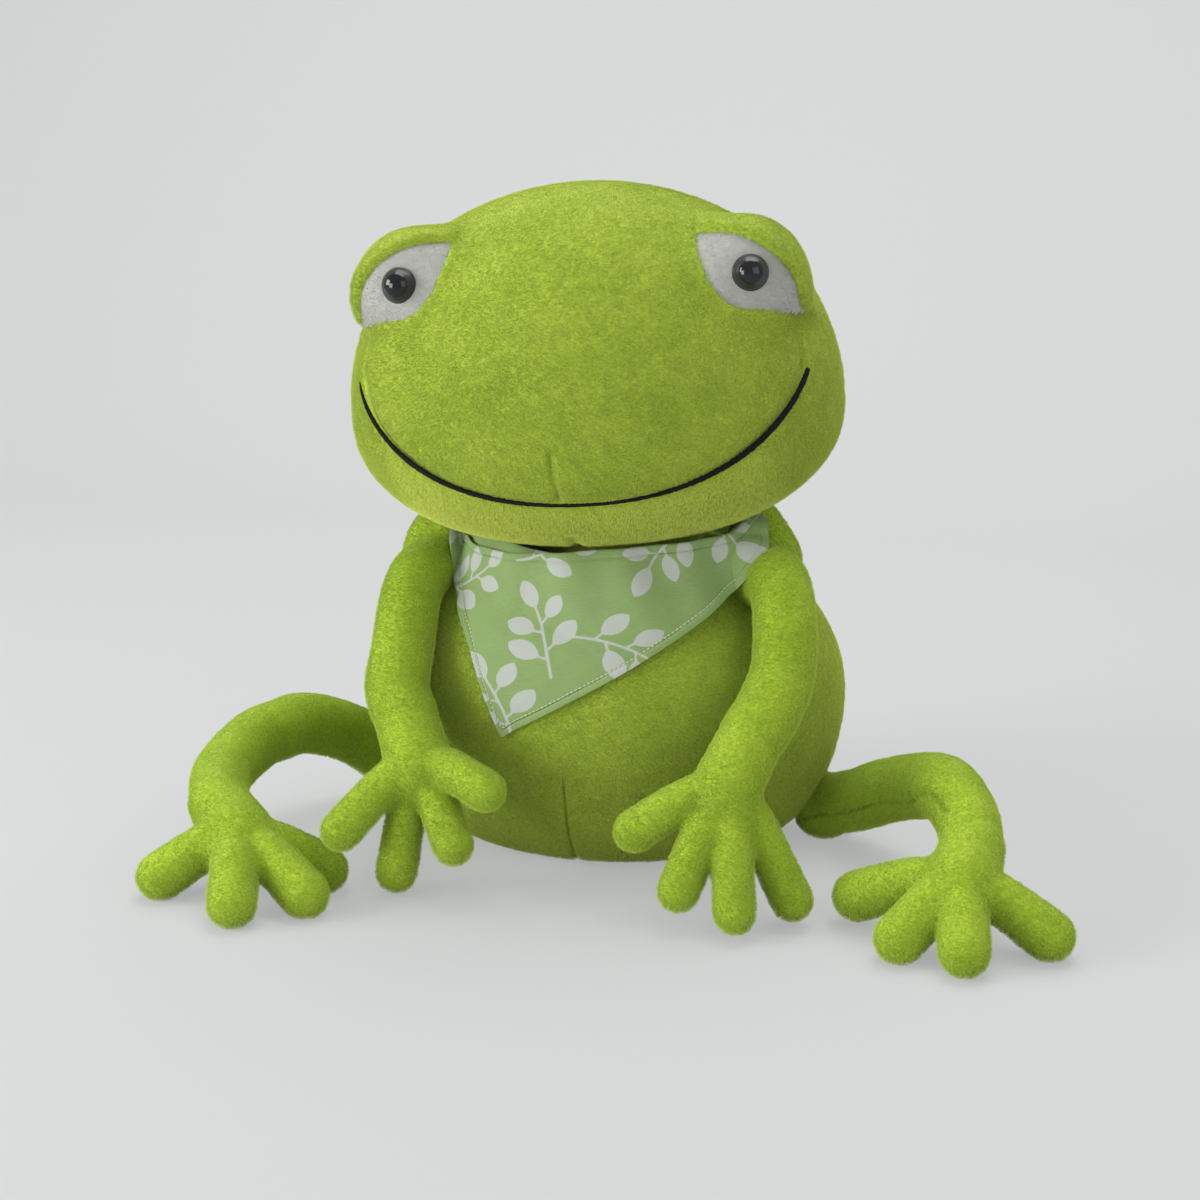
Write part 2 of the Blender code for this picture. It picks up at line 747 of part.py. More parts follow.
def build_paw(name, look, joint, palm, palm_radius, digits, radii, parent):
    """A hand or a foot: digits that spread from a palm, fused and smoothed, on a ball at its joint.

    The joint is its place, the limb's radius there and the limb's direction."""
    wrist, wrist_radius, direction = joint
    root_radius, digit_radius = radii
    local_palm = palm - wrist
    meshes = [tube_mesh(f"{name}_palm", [Vector(), local_palm], [wrist_radius, palm_radius])]
    middle = sum((tip - wrist for tip in digits), Vector()) / len(digits)
    for pad, place in (("heel", local_palm), ("pad", local_palm.lerp(middle, DIGIT_WEB_SHARE))):
        meshes.append(ball_mesh(f"{name}_{pad}", palm_radius))
        meshes[-1].transform(Matrix.Translation(place))
    for index, tip in enumerate(digits):
        local_tip = tip - wrist
        knuckle = local_palm.lerp(local_tip, DIGIT_KNUCKLE_SHARE)
        knuckle.z += (local_tip - local_palm).length * DIGIT_ARCH_SHARE
        path = smooth_path([local_palm, knuckle, local_tip], FRAME_STEPS)
        thick = graded(root_radius, digit_radius, len(path))
        meshes.append(tube_mesh(f"{name}_digit_{index}", path, thick, round_end=True))
    piece = add_object(name, joined_mesh(name, meshes), look)
    fuse = piece.modifiers.new("fuse", "REMESH")
    fuse.mode = "VOXEL"
    fuse.voxel_size = FABRIC_FACET
    fuse.use_smooth_shade = True
    soften = piece.modifiers.new("soften", "SMOOTH")
    soften.factor = PAW_SOFTEN_SHARE
    soften.iterations = PAW_SOFTEN_STEPS
    thin = piece.modifiers.new("thin_out", "DECIMATE")
    thin.ratio = PAW_FACETS_KEPT_SHARE
    ball_radius = wrist_radius * JOINT_SWELL_SHARE
    ball = add_object(f"{name}_ball", aimed_ball(f"{name}_ball", ball_radius, direction))
    seat_limb(piece, ball, wrist, parent)
    boolean(piece, ball, "UNION")
    cut_by_floor(piece)
    return piece


def graded(first, last, count, steps=None):
    """A list of sizes that goes from the first to the last in some steps, then stays."""
    steps = steps or count - 1
    return [first + (last - first) * min(1, step / steps) for step in range(count)]


def resting(point, radius):
    """The point, no lower than where a softened digit of that radius just rests on the floor."""
    return Vector((point.x, point.y, max(point.z, radius - FLOOR_DIP - PAW_SHRINK)))


def build_arm(side):
    shoulder, out = shoulder_seat(side)
    path = smooth_path(limb_points(ARM_PATH_SHARES[side], ARM_LENGTH, shoulder), FRAME_STEPS)
    elbow_at = ELBOW_MARK * FRAME_STEPS
    at_elbow = (ARM_RADIUS * JOINT_SWELL_SHARE, path[elbow_at + 1] - path[elbow_at - 1])
    wrist, along = path[-1], path[-1] - path[-2]
    look = material(f"arm_plush_{side}", "limb_plush")
    upper = limb_segment(
        f"upper_arm_{side}", look, path[: elbow_at + 1],
        graded(ARM_ROOT_RADIUS, ARM_RADIUS, elbow_at + 1, FRAME_STEPS),
        ball=(SHOULDER_BALL_RADIUS, out), socket=at_elbow,
    )
    fore_path = path[elbow_at:]
    fore = limb_segment(
        f"forearm_{side}", look, fore_path, graded(ARM_RADIUS, WRIST_RADIUS, len(fore_path)),
        ball=at_elbow, socket=(WRIST_RADIUS * JOINT_SWELL_SHARE, along), parent=upper,
    )
    tips = limb_points(FINGER_SHARES[side], HAND_LENGTH, wrist)
    build_paw(
        f"hand_{side}", material(f"hand_plush_{side}", "paw_plush"), (wrist, WRIST_RADIUS, along),
        wrist + Vector(PALM_SHARES[side]) * HAND_LENGTH, PALM_RADIUS,
        [resting(tip, FINGER_RADIUS) for tip in tips], (FINGER_ROOT_RADIUS, FINGER_RADIUS), fore,
    )


def build_leg(side):
    hip, out = hip_seat(side)
    path = smooth_path(limb_points(LEG_PATH_SHARES[side], LEG_LENGTH, hip), FRAME_STEPS)
    knee_at = KNEE_MARK * FRAME_STEPS
    at_knee = (THIGH_RADIUS * JOINT_SWELL_SHARE, path[knee_at + 1] - path[knee_at - 1])
    ankle, along = path[-1], path[-1] - path[-2]
    look = material(f"leg_plush_{side}", "limb_plush")
    thigh = limb_segment(
        f"thigh_{side}", look, path[: knee_at + 1],
        graded(LEG_ROOT_RADIUS, THIGH_RADIUS, knee_at + 1, FRAME_STEPS),
        ball=(HIP_BALL_RADIUS, out), socket=at_knee, floor=True,
    )
    shin_path = path[knee_at:]
    calf_steps = ANKLE_TAPER_MARK * FRAME_STEPS
    shin_radii = graded(THIGH_RADIUS, SHIN_RADIUS, calf_steps)
    shin_radii += graded(SHIN_RADIUS, ANKLE_RADIUS, len(shin_path) - calf_steps)
    shin = limb_segment(
        f"shin_{side}", look, shin_path, shin_radii,
        ball=at_knee, socket=(ANKLE_RADIUS * JOINT_SWELL_SHARE, along), parent=thigh,
    )
    tips = limb_points(TOE_SHARES[side], FOOT_LENGTH, ankle)
    build_paw(
        f"foot_{side}", material(f"foot_plush_{side}", "paw_plush"), (ankle, ANKLE_RADIUS, along),
        ankle + Vector(SOLE_SHARES[side]) * FOOT_LENGTH, SOLE_RADIUS,
        [resting(tip, TOE_RADIUS) for tip in tips], (TOE_ROOT_RADIUS, TOE_RADIUS), shin,
    )


# Bandana

def cloth_point(turn, height, reach, lift):
    """A point of the bandana from its three shares, kept a lift outside the torso and the shoulders."""
    angle = turn * math.pi
    wide = max(reach, torso_radius_at(height)) if height < 1 else reach
    point = Vector((
        (TORSO_WIDTH / 2 * wide + lift) * math.sin(angle),
        -(TORSO_DEPTH / 2 * wide + lift) * math.cos(angle),
        height * TORSO_HEIGHT,
    ))
    for side in SIDES:
        shoulder, _ = shoulder_seat(side)
        away = point - shoulder
        nearest = SHOULDER_BALL_RADIUS + CLOTH_SHOULDER_GAP + lift
        if away.length < nearest:
            point = shoulder + away.normalized() * nearest
    return point


def build_bandana():
    """The folded square of cotton: a triangle over the chest whose corners run round the neck to a knot."""
    first = BANDANA_TOP_SHARES[0][0]
    last = BANDANA_TOP_SHARES[-1][0]

    def build(work):
        sheet = []
        for column in range(CLOTH_COLUMNS + 1):
            turn = first + (last - first) * column / CLOTH_COLUMNS
            top = edge_at(BANDANA_TOP_SHARES, turn)
            hem = edge_at(BANDANA_HEM_SHARES, turn)
            ripple = CLOTH_FOLD_DEPTH * (1 + math.cos(CLOTH_FOLDS * math.pi * turn))
            line = []
            for row in range(CLOTH_ROWS + 1):
                height, reach = hem.lerp(top, row / CLOTH_ROWS)
                lift = CLOTH_GAP + ripple * max(0.0, height - CLOTH_RIPPLE_FROM_SHARE)
                line.append(work.verts.new(cloth_point(turn, height, reach, lift)))
            sheet.append(line)
        for before, after in zip(sheet, sheet[1:]):
            for row in range(CLOTH_ROWS):
                work.faces.new((before[row], after[row], after[row + 1], before[row + 1]))
    bandana = add_object("bandana", mesh_of("bandana", build), material("bandana_cotton", "cotton"))
    thicken = bandana.modifiers.new("cloth", "SOLIDIFY")
    thicken.thickness = CLOTH_THICKNESS
    thicken.offset = 1


def build_knot(torso_clearance):
    """The knot behind the neck, with the bandana's two ends hanging from it."""
    stretch = (KNOT_WIDTH / 2, KNOT_DEPTH / 2, KNOT_HEIGHT / 2)
    knot = add_object(
        "bandana_knot", ball_mesh("bandana_knot", 1, stretch=stretch), material("knot_cotton", "cotton")
    )
    knot.location = cloth_point(1, KNOT_HEIGHT_SHARE, KNOT_REACH_SHARE, KNOT_DEPTH / 2)
    for side, sign in SIDES.items():
        tail_name = f"bandana_tail_{side}"
        tail = add_object(tail_name, box_mesh(tail_name, (TAIL_WIDTH, TAIL_THICKNESS, TAIL_LENGTH)))
        tail.parent = knot
        tail.location = (TAIL_OFFSET * sign, TAIL_STAND_OFF + TAIL_THICKNESS * sign, -TAIL_LENGTH / 2)
        tail.rotation_euler = (TAIL_SWING, -TAIL_SPREAD * sign, 0)
        boolean(knot, tail, "UNION")
    boolean(knot, torso_clearance, "DIFFERENCE")


def main():
    torso = build_torso()
    torso_clearance = grown_copy(torso, SEAT_GAP)
    build_neck()
    pivot = joint_empty("head_nod", NECK_CENTRE, rotation=(HEAD_PITCH, HEAD_ROLL, HEAD_YAW))
    head = build_head(pivot)
    head_clearance = grown_copy(head, SEAT_GAP)
    boolean(head, bpy.data.objects["head_socket"], "DIFFERENCE")
    for side in SIDES:
        build_eye(pivot, head, head_clearance, side)
    build_mouth(pivot)
    for side in SIDES:
        build_arm(side)
        build_leg(side)
    build_bandana()
    build_knot(torso_clearance)


clear_scene()
PIECES = new_collection("plush_frog")
CUTTERS = new_collection("cutters")
NECK_CENTRE = Vector((0, 0, TORSO_HEIGHT + NECK_RISE))
HEAD_CENTRE = Vector((HEAD_SIDE_SHIFT, -HEAD_FORWARD, HEAD_RISE))
FLOOR = add_object(
    "floor_slab", box_mesh("floor_slab", (FLOOR_SLAB_WIDTH, FLOOR_SLAB_WIDTH, FLOOR_SLAB_DEPTH))
)
FLOOR.location = (0, 0, -FLOOR_SLAB_DEPTH / 2)
main()
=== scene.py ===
"""Looks of the seated plush frog: plush skins with pile, fleece eyes, stitched smile, printed bandana, studio.

Metres, +Z up. The frog faces -Y, so its left is +X. Most sizes and tables repeat those of the part's source. The
arms' first points, the shoulder balls, the eyes' height and the bandana's edges are fitted further to the photo.
"""

import math

import bmesh
import bpy
import numpy as np
from mathutils import Euler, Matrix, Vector


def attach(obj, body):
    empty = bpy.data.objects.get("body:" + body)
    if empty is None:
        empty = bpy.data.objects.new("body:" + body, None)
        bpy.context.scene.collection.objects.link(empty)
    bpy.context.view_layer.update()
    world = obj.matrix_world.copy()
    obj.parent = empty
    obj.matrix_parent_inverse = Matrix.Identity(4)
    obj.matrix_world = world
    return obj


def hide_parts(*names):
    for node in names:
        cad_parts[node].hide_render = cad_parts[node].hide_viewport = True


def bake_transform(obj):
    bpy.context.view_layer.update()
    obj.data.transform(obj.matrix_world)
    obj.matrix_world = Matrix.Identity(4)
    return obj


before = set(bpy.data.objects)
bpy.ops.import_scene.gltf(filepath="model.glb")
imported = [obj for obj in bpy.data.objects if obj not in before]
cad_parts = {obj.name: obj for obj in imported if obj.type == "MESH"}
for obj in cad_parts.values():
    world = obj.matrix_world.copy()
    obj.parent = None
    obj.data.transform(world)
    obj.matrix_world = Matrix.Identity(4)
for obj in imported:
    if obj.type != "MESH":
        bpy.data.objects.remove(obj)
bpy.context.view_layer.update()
MM = 0.001

# Sizes, most of them as in the part's source

TORSO_SIZE = (0.176, 0.144, 0.115)
HEAD_WIDTH = 0.181
CROWN = 0.076
JAW = 0.048
FACE = 0.076
NAPE = 0.064
JAW_FULLNESS = 2.5
HEAD_CENTRE = np.array((-0.002, -0.006, 0.050))
NECK = np.array((0.0, 0.0, 0.117))
NECK_RADIUS = 0.036
HEAD_TURN = np.array(Euler((math.radians(5.0), math.radians(-2.6), math.radians(6.0))).to_matrix())
MOUND_RADIUS = 0.0217
EYE_SPACING = 0.1145
EYE_RISE = 0.044
EYE_FORWARD = 0.024
EYE_RADIUS = 0.006
EYE_DOME = 0.0052
EYE_AIM = {1: (math.radians(9.0), math.radians(-13.5)), -1: (math.radians(4.8), math.radians(-12.8))}
PATCH_AIM = (math.radians(7.0), math.radians(-12.5))
LID_AIM = (math.radians(8.0), math.radians(-18.5))
LID_UPPER = (
    (-15.7, 17.2), (-7.6, 16.1), (-0.9, 13.9), (5.5, 10.2), (10.7, 5.9), (14.4, 1.7), (17.0, -3.0), (18.2, -7.0),
    (18.8, -10.0),
)
LID_LOWER = (
    (-15.7, 17.2), (-15.7, 9.8), (-14.3, 3.0), (-12.1, -3.0), (-7.7, -8.6), (-2.3, -11.0), (5.5, -11.5),
    (14.5, -11.1), (18.8, -10.0),
)
MOUTH_ANGLE = math.radians(61.5)
MOUTH_DROP = 0.024
MOUTH_RISE = 0.0143
SMILE_SHARPNESS = 2.2
SIDES = {"left": 1, "right": -1}

TORSO_OUTLINE = (
    (0.0, 0.0), (0.38, 0.0), (0.65, 0.008), (0.83, 0.09), (0.95, 0.25), (1.0, 0.45), (0.97, 0.62),
    (0.86, 0.77), (0.70, 0.89), (0.48, 0.965), (0.24, 0.995), (0.0, 1.0),
)
ARM_LENGTH = 0.088
HAND_LENGTH = 0.055
LEG_LENGTH = 0.120
FOOT_LENGTH = 0.055
SHOULDER = (0.0607, -0.02241, 0.10226)
HIP = (0.08244, 0.0, 0.01236)
ARM_PATH = {
    "left": (
        (-0.025, 0, 0.030), (0.112, -0.215, 0.030), (0.160, -0.385, -0.225), (0.132, -0.520, -0.364),
        (0.067, -0.636, -0.485),
    ),
    "right": (
        (0.040, 0, 0.020), (-0.018, -0.255, -0.025), (-0.010, -0.455, -0.270), (0.002, -0.560, -0.394),
        (0.069, -0.636, -0.497),
    ),
}
LEG_PATH = {
    "left": (
        (0, 0, 0), (0.112, -0.083, 0.054), (0.204, -0.167, 0.117), (0.304, -0.283, 0.179),
        (0.405, -0.458, 0.236), (0.475, -0.575, 0.192), (0.500, -0.667, 0.142),
    ),
    "right": (
        (0, 0, 0), (-0.165, -0.055, 0.130), (-0.278, -0.190, 0.203), (-0.330, -0.290, 0.204),
        (-0.375, -0.375, 0.192), (-0.396, -0.567, 0.146), (-0.325, -0.767, 0.125),
    ),
}
PALM = {"left": (-0.080, -0.220, -0.200), "right": (0.136, -0.200, -0.190)}
FINGERS = {
    "left": (
        (-0.680, -0.345, -0.536), (-0.350, -0.500, -0.864), (0.030, -0.550, -0.960), (0.355, -0.236, -0.960),
    ),
    "right": (
        (0.690, -0.454, -0.284), (0.455, -0.436, -0.690), (0.010, -0.327, -0.960), (-0.290, -0.564, -0.610),
    ),
}
SOLE = {"left": (-0.040, -0.254, -0.127), "right": (0.245, -0.254, -0.110)}
TOES = {
    "left": (
        (-0.720, -0.060, -0.360), (-0.390, -0.600, -0.450), (0.020, -0.709, -0.450), (0.520, -0.327, -0.450),
    ),
    "right": (
        (0.805, -0.110, -0.450), (0.845, -0.564, -0.450), (0.445, -0.836, -0.450), (-0.227, -0.490, -0.450),
    ),
}
BANDANA_TOP = (
    (-0.94, 0.955, 0.62), (-0.70, 0.985, 0.61), (-0.47, 1.025, 0.62), (-0.31, 1.005, 0.65),
    (-0.16, 0.985, 0.71), (0.0, 1.008, 0.72), (0.17, 1.032, 0.72), (0.28, 1.052, 0.705),
    (0.33, 1.083, 0.71), (0.37, 1.108, 0.69), (0.42, 1.112, 0.64), (0.48, 1.090, 0.56), (0.56, 1.035, 0.52),
    (0.70, 0.985, 0.58), (0.94, 0.955, 0.62),
)
BANDANA_HEM = (
    (-0.94, 0.870, 0.76), (-0.70, 0.900, 0.73), (-0.47, 0.985, 0.66), (-0.34, 0.965, 0.71),
    (-0.25, 0.875, 0.765), (-0.20, 0.800, 0.81), (-0.144, 0.700, 0.92), (-0.098, 0.535, 0.98), (-0.080, 0.456, 1.0),
    (-0.062, 0.480, 1.0), (0.06, 0.648, 0.96), (0.22, 0.842, 0.84), (0.285, 0.915, 0.82), (0.318, 1.000, 0.83),
    (0.345, 1.078, 0.79), (0.40, 1.085, 0.69), (0.48, 1.045, 0.59), (0.56, 0.985, 0.56), (0.70, 0.910, 0.68),
    (0.94, 0.870, 0.76),
)

# Balls that carry each arm up to its seam under the jaw, from the shoulder: across, back, up, radius

SHOULDER_BALLS = {
    "left": (
        (-0.0045, 0.0010, 0.0065, 0.0118), (0.0015, 0.0, 0.0055, 0.0116), (0.0038, 0.0022, 0.0085, 0.0100),
        (0.0024, 0.0034, 0.0120, 0.0093), (0.0010, 0.0045, 0.0150, 0.0086), (-0.0015, 0.0062, 0.0205, 0.0070),
    ),
    "right": (
        (-0.0045, 0.0010, 0.0065, 0.0118), (0.0018, 0.0008, 0.0040, 0.0117), (0.0022, 0.0030, 0.0085, 0.0102),
        (0.0020, 0.0055, 0.0125, 0.0082),
    ),
}

# Colours as linear RGB

PLUSH_DARK = (0.215, 0.350, 0.016)
# The pile's root colours are darker and greener than its tips: painted shade deep among the fibres.
PLUSH_ROOT = (0.235, 0.360, 0.020)
# The chin panel's root and tip colours are lighter: partly its own pile direction, partly painted light from below.
CHIN_ROOT = (0.290, 0.410, 0.030)
# The limbs' root colour is greener than the body's: painted shade on the same plush.
LIMB_ROOT = (0.205, 0.355, 0.016)
PLUSH_LIGHT = (0.515, 0.622, 0.076)
PLUSH_TIP = (0.582, 0.668, 0.117)
CHIN_TIP = (0.820, 0.870, 0.190)
GRAIN = (800.0, 1150.0, 1600.0)
# The limbs are the same plush as the body; this tint, greener, less blue and a little brighter, is painted light and
# shade on them.
LIMB_LIGHT_AND_SHADE_TINT = np.array((0.97, 1.035, 0.72))
SHEEN_TINT = (0.90, 0.95, 0.52)
FLEECE = (0.442, 0.444, 0.410)
COTTON = (0.250, 0.350, 0.135)
PRINT = (0.490, 0.515, 0.465)
THREAD = (0.004, 0.004, 0.0045)
HEM_THREAD = (0.58, 0.66, 0.42)
STUDIO = (0.590, 0.594, 0.598)
GLOW = (0.655, 0.669, 0.668)


# Curves, grids and meshes

def catmull(points, steps):
    """Points along a smooth curve through the given ones."""
    points = np.asarray(points, float)
    ring = np.vstack([2 * points[0] - points[1], points, 2 * points[-1] - points[-2]])
    path = []
    for p0, p1, p2, p3 in zip(ring, ring[1:], ring[2:], ring[3:]):
        for step in range(steps):
            t = step / steps
            path.append(
                (2 * p1 + (p2 - p0) * t + (2 * p0 - 5 * p1 + 4 * p2 - p3) * t**2
                 + (3 * p1 - p0 - 3 * p2 + p3) * t**3) / 2
            )
    path.append(points[-1])
    return np.array(path)


def unit(vectors):
    vectors = np.asarray(vectors, float)
    return vectors / np.maximum(np.linalg.norm(vectors, axis=-1, keepdims=True), 1e-12)


def all_round(count):
    return np.linspace(0, math.tau, count, endpoint=False)


def length_along(line):
    """Length of a polyline from its start to each of its points."""
    return np.concatenate([[0], np.cumsum(np.linalg.norm(np.diff(line, axis=0), axis=1))])


def smoothstep(low, high, value):
    t = np.clip((value - low) / (high - low), 0, 1)
    return t * t * (3 - 2 * t)


def hump(distance, width):
    return np.exp(-(distance / width) ** 2)


def grid_quads(rows, columns, closed=False):
    """Quads of a grid whose vertices run row by row. closed joins the last column to the first."""
    across = columns if closed else columns - 1
    i, j = np.meshgrid(np.arange(rows - 1), np.arange(across), indexing="ij")
    k = (j + 1) % columns
    return np.stack([i * columns + j, i * columns + k, (i + 1) * columns + k, (i + 1) * columns + j], -1).reshape(-1, 4)


def ball_grid(count):
    """Even directions all round, and the quads between them."""
    line = np.tan((np.arange(count + 1) / count * 2 - 1) * math.pi / 4)
    a, b = np.meshgrid(line, line, indexing="ij")
    one = np.ones_like(a)
    sides = ((one, a, b), (-one, b, a), (b, one, a), (a, -one, b), (a, b, one), (b, a, -one))
    points = unit(np.concatenate([np.stack(side, -1).reshape(-1, 3) for side in sides]))
    _, first, where = np.unique(np.round(points, 6) + 0.0, axis=0, return_index=True, return_inverse=True)
    i, j = np.meshgrid(np.arange(count), np.arange(count), indexing="ij")
    base = (i * (count + 1) + j).ravel()
    quad = np.stack([base, base + count + 1, base + count + 2, base + 1], -1)
    quads = np.concatenate([quad + side * (count + 1) ** 2 for side in range(6)])
    return points[first], where.ravel()[quads]


def add_object(name, data):
    made = bpy.data.objects.new(name, data)
    bpy.context.scene.collection.objects.link(made)
    return made


def make_piece(name, verts, faces, *looks):
    """A smooth piece. Faces are an array of quads, or a list where their lengths differ."""
    mesh = bpy.data.meshes.new(name)
    mesh.from_pydata(np.asarray(verts).tolist(), [], faces if isinstance(faces, list) else faces.tolist())
    mesh.shade_smooth()
    for look in looks:
        mesh.materials.append(look)
    return add_object(name, mesh)


def normals_of(verts, faces):
    """Area-weighted normals of the vertices of a quad mesh."""
    one, two, three, four = (verts[faces[:, k]] for k in range(4))
    across = np.cross(three - one, four - two)
    total = np.zeros_like(verts)
    for k in range(4):
        np.add.at(total, faces[:, k], across)
    return unit(total)


def put_attribute(piece, name, values):
    attribute = piece.data.attributes.new(name, "FLOAT", "POINT")
    attribute.data.foreach_set("value", np.asarray(values, np.float32))


def put_vectors(piece, name, values):
    attribute = piece.data.attributes.new(name, "FLOAT_VECTOR", "POINT")
    attribute.data.foreach_set("vector", np.asarray(values, np.float32).ravel())


def distance_to_line(points, line):
    """Distance from each point to a polyline, and the share of the line's points that is nearest."""
    best = np.full(len(points), 9.0)
    at = np.zeros(len(points))
    for index, (start, end) in enumerate(zip(line, line[1:])):
        along = end - start
        t = np.clip(((points - start) @ along) / (along @ along), 0, 1)
        distance = np.linalg.norm(points - start - t[:, None] * along, axis=1)
        nearer = distance < best
        best[nearer] = distance[nearer]
        at[nearer] = (index + t[nearer]) / (len(line) - 1)
    return best, at


# Materials

def shade(colour, share):
    return tuple(c * share for c in colour)


class Nodes:
    """A node tree in the making: each call adds a node and gives back its first output."""

    def __init__(self, name):
        self.look = bpy.data.materials.new(name)
        self.look.use_nodes = True
        self.tree = self.look.node_tree
        self.shader = self.tree.nodes["Principled BSDF"]

    def set(self, **values):
        for name, value in values.items():
            self.link(value, self.shader.inputs[name.replace("_", " ")])
        return self

    def link(self, value, socket):
        if isinstance(value, bpy.types.NodeSocket):
            self.tree.links.new(value, socket)
        elif isinstance(value, tuple) and len(value) == 3 and len(socket.default_value) == 4:
            socket.default_value = (*value, 1.0)
        else:
            socket.default_value = value

    def node(self, kind, output=0, inputs=(), **settings):
        node = self.tree.nodes.new(kind)
        for name, value in settings.items():
            setattr(node, name, value)
        for key, value in dict(inputs).items():
            self.link(value, node.inputs[key])
        return node.outputs[output]

    def place(self):
        return self.node("ShaderNodeTexCoord", "Object")

    def attribute(self, name, output="Fac"):
        return self.node("ShaderNodeAttribute", output, attribute_name=name)

    def scaled(self, vector, scale):
        return self.node("ShaderNodeMapping", 0, {"Vector": vector, "Scale": scale})

    def noise(self, vector, scale, detail=2.0, rough=0.5):
        return self.node(
            "ShaderNodeTexNoise", "Fac", {"Vector": vector, "Scale": scale, "Detail": detail, "Roughness": rough}
        )

    def math(self, operation, one, two=0.0, three=0.0):
        node = self.tree.nodes.new("ShaderNodeMath")
        node.operation = operation
        for socket, value in zip(node.inputs, (one, two, three)):
            self.link(value, socket)
        return node.outputs[0]

    def add(self, one, two):
        return self.math("ADD", one, two)

    def times(self, one, two):
        return self.math("MULTIPLY", one, two)

    def ranged(self, value, low, high, to_low=0.0, to_high=1.0):
        return self.node(
            "ShaderNodeMapRange", 0,
            {"Value": value, "From Min": low, "From Max": high, "To Min": to_low, "To Max": to_high},
        )

    def mix(self, part, one, two, blend="MIX"):
        node = self.tree.nodes.new("ShaderNodeMix")
        node.data_type = "RGBA"
        node.blend_type = blend
        for index, value in ((0, part), (6, one), (7, two)):
            self.link(value, node.inputs[index])
        return node.outputs[2]

    def bump(self, height, distance, strength=1.0, normal=None):
        inputs = {"Height": height, "Distance": distance, "Strength": strength}
        if normal is not None:
            inputs["Normal"] = normal
        return self.node("ShaderNodeBump", 0, inputs)


def nap_patches(look, place, low=0.0, high=1.0):
    return look.ranged(look.noise(place, 42.0, 2.0, 0.55), 0.34, 0.66, low, high)


def nap_grain(look, place, low=0.0, high=1.0):
    return look.ranged(look.noise(look.scaled(place, GRAIN), 1.0, 2.0, 0.65), 0.30, 0.70, low, high)


def plush_colour(look, place, light, dark):
    """The plush's tone: wide patches where it is brushed up or down, fine streaks along it, and a lighter chin panel,
    partly its own pile direction and partly painted light from below.
    """
    patches = nap_patches(look, place)
    streaks = nap_grain(look, place)
    tone = look.add(look.times(patches, 0.25), look.times(streaks, 0.75))
    # Lighter chin panel: partly its pile direction, partly painted light from below.
    tone = look.add(tone, look.times(look.attribute("nap"), 0.35))
    return look.mix(tone, dark, light), streaks


def plush_skin(name, light=PLUSH_LIGHT, dark=PLUSH_DARK):
    look = Nodes(name)
    place = look.place()
    colour, streaks = plush_colour(look, place, light, dark)
    # Along seams the colour darkens: painted shade in the seams' grooves.
    seam = look.attribute("seam")
    colour = look.mix(look.times(seam, 0.75), colour, shade(dark, 0.28))
    tufts = look.noise(look.scaled(place, (1900.0, 1900.0, 800.0)), 1.0, 3.0, 0.7)
    height = look.add(look.times(streaks, 0.5), tufts)
    look.set(
        Base_Color=colour, Roughness=0.95, Sheen_Weight=0.35, Sheen_Roughness=0.45,
        Sheen_Tint=(*SHEEN_TINT, 1.0), Normal=look.bump(height, 0.0005, 0.35), Specular_IOR_Level=0.15,
    )
    return look.look


def pile_look(name, root, tip, sheen=0.38, tint=SHEEN_TINT):
    """Fibres of the pile: darker at the root, lighter at the tip, with patches and a little chance each. The darker
    root is painted shade deep in the pile.
    """
    look = Nodes(name)
    hair = look.tree.nodes.new("ShaderNodeHairInfo")
    place = look.place()
    patches = nap_patches(look, place, -0.07, 0.07)
    chance = look.ranged(hair.outputs["Random"], 0.0, 1.0, -0.14, 0.14)
    chance = look.add(chance, nap_grain(look, place, -0.24, 0.24))
    # From root to tip: the darker root is painted shade.
    along = look.math("POWER", hair.outputs["Intercept"], 0.8)
    tone = look.add(look.add(along, patches), chance)
    look.set(
        Base_Color=look.mix(look.ranged(tone, 0.0, 1.0), root, tip), Roughness=0.75,
        Sheen_Weight=sheen, Sheen_Roughness=0.5, Sheen_Tint=(*tint, 1.0), Specular_IOR_Level=0.2,
    )
    return look.look


def fleece_skin():
    look = Nodes("white_fleece")
    place = look.place()
    fine = look.noise(place, 1400.0, 3.0, 0.7)
    tone = look.ranged(look.noise(place, 160.0, 2.0), 0.3, 0.7)
    look.set(
        Base_Color=look.mix(tone, shade(FLEECE, 0.93), FLEECE), Roughness=0.95,
        Sheen_Weight=0.2, Normal=look.bump(fine, 0.0003, 0.3),
    )
    return look.look


def eye_gloss():
    """Polished black dome within a duller ring."""
    look = Nodes("eye_plastic")
    place = look.place()
    ring = look.attribute("ring")
    ripple = look.noise(place, 260.0, 2.0)
    depth = look.ranged(look.noise(place, 90.0), 0.3, 0.7)
    dome = look.mix(depth, (0.002, 0.002, 0.003), (0.005, 0.005, 0.007))
    polish = look.ranged(ripple, 0.3, 0.7, 0.04, 0.08)
    look.set(
        Base_Color=look.mix(ring, dome, (0.022, 0.022, 0.024)),
        Roughness=look.add(polish, look.times(ring, 0.26)),
        Normal=look.bump(ripple, 0.00005, 0.15),
    )
    return look.look


def thread_look(name, colour, pitch):
    """Satin thread: fine strands that lie across the line, with a soft shine. pitch is in millimetres."""
    look = Nodes(name)
    along = look.attribute("along")
    chance = look.noise(look.place(), 2600.0, 2.0, 0.6)
    strands = look.math("SINE", look.add(look.times(along, math.tau / pitch), look.times(chance, 2.5)))
    tone = look.ranged(look.add(strands, look.times(chance, 1.2)), -1.0, 2.0)
    look.set(
        Base_Color=look.mix(tone, shade(colour, 0.5), shade(colour, 2.2)),
        Roughness=0.7, Specular_IOR_Level=0.2, Normal=look.bump(strands, 0.00025, 0.8),
    )
    return look.look


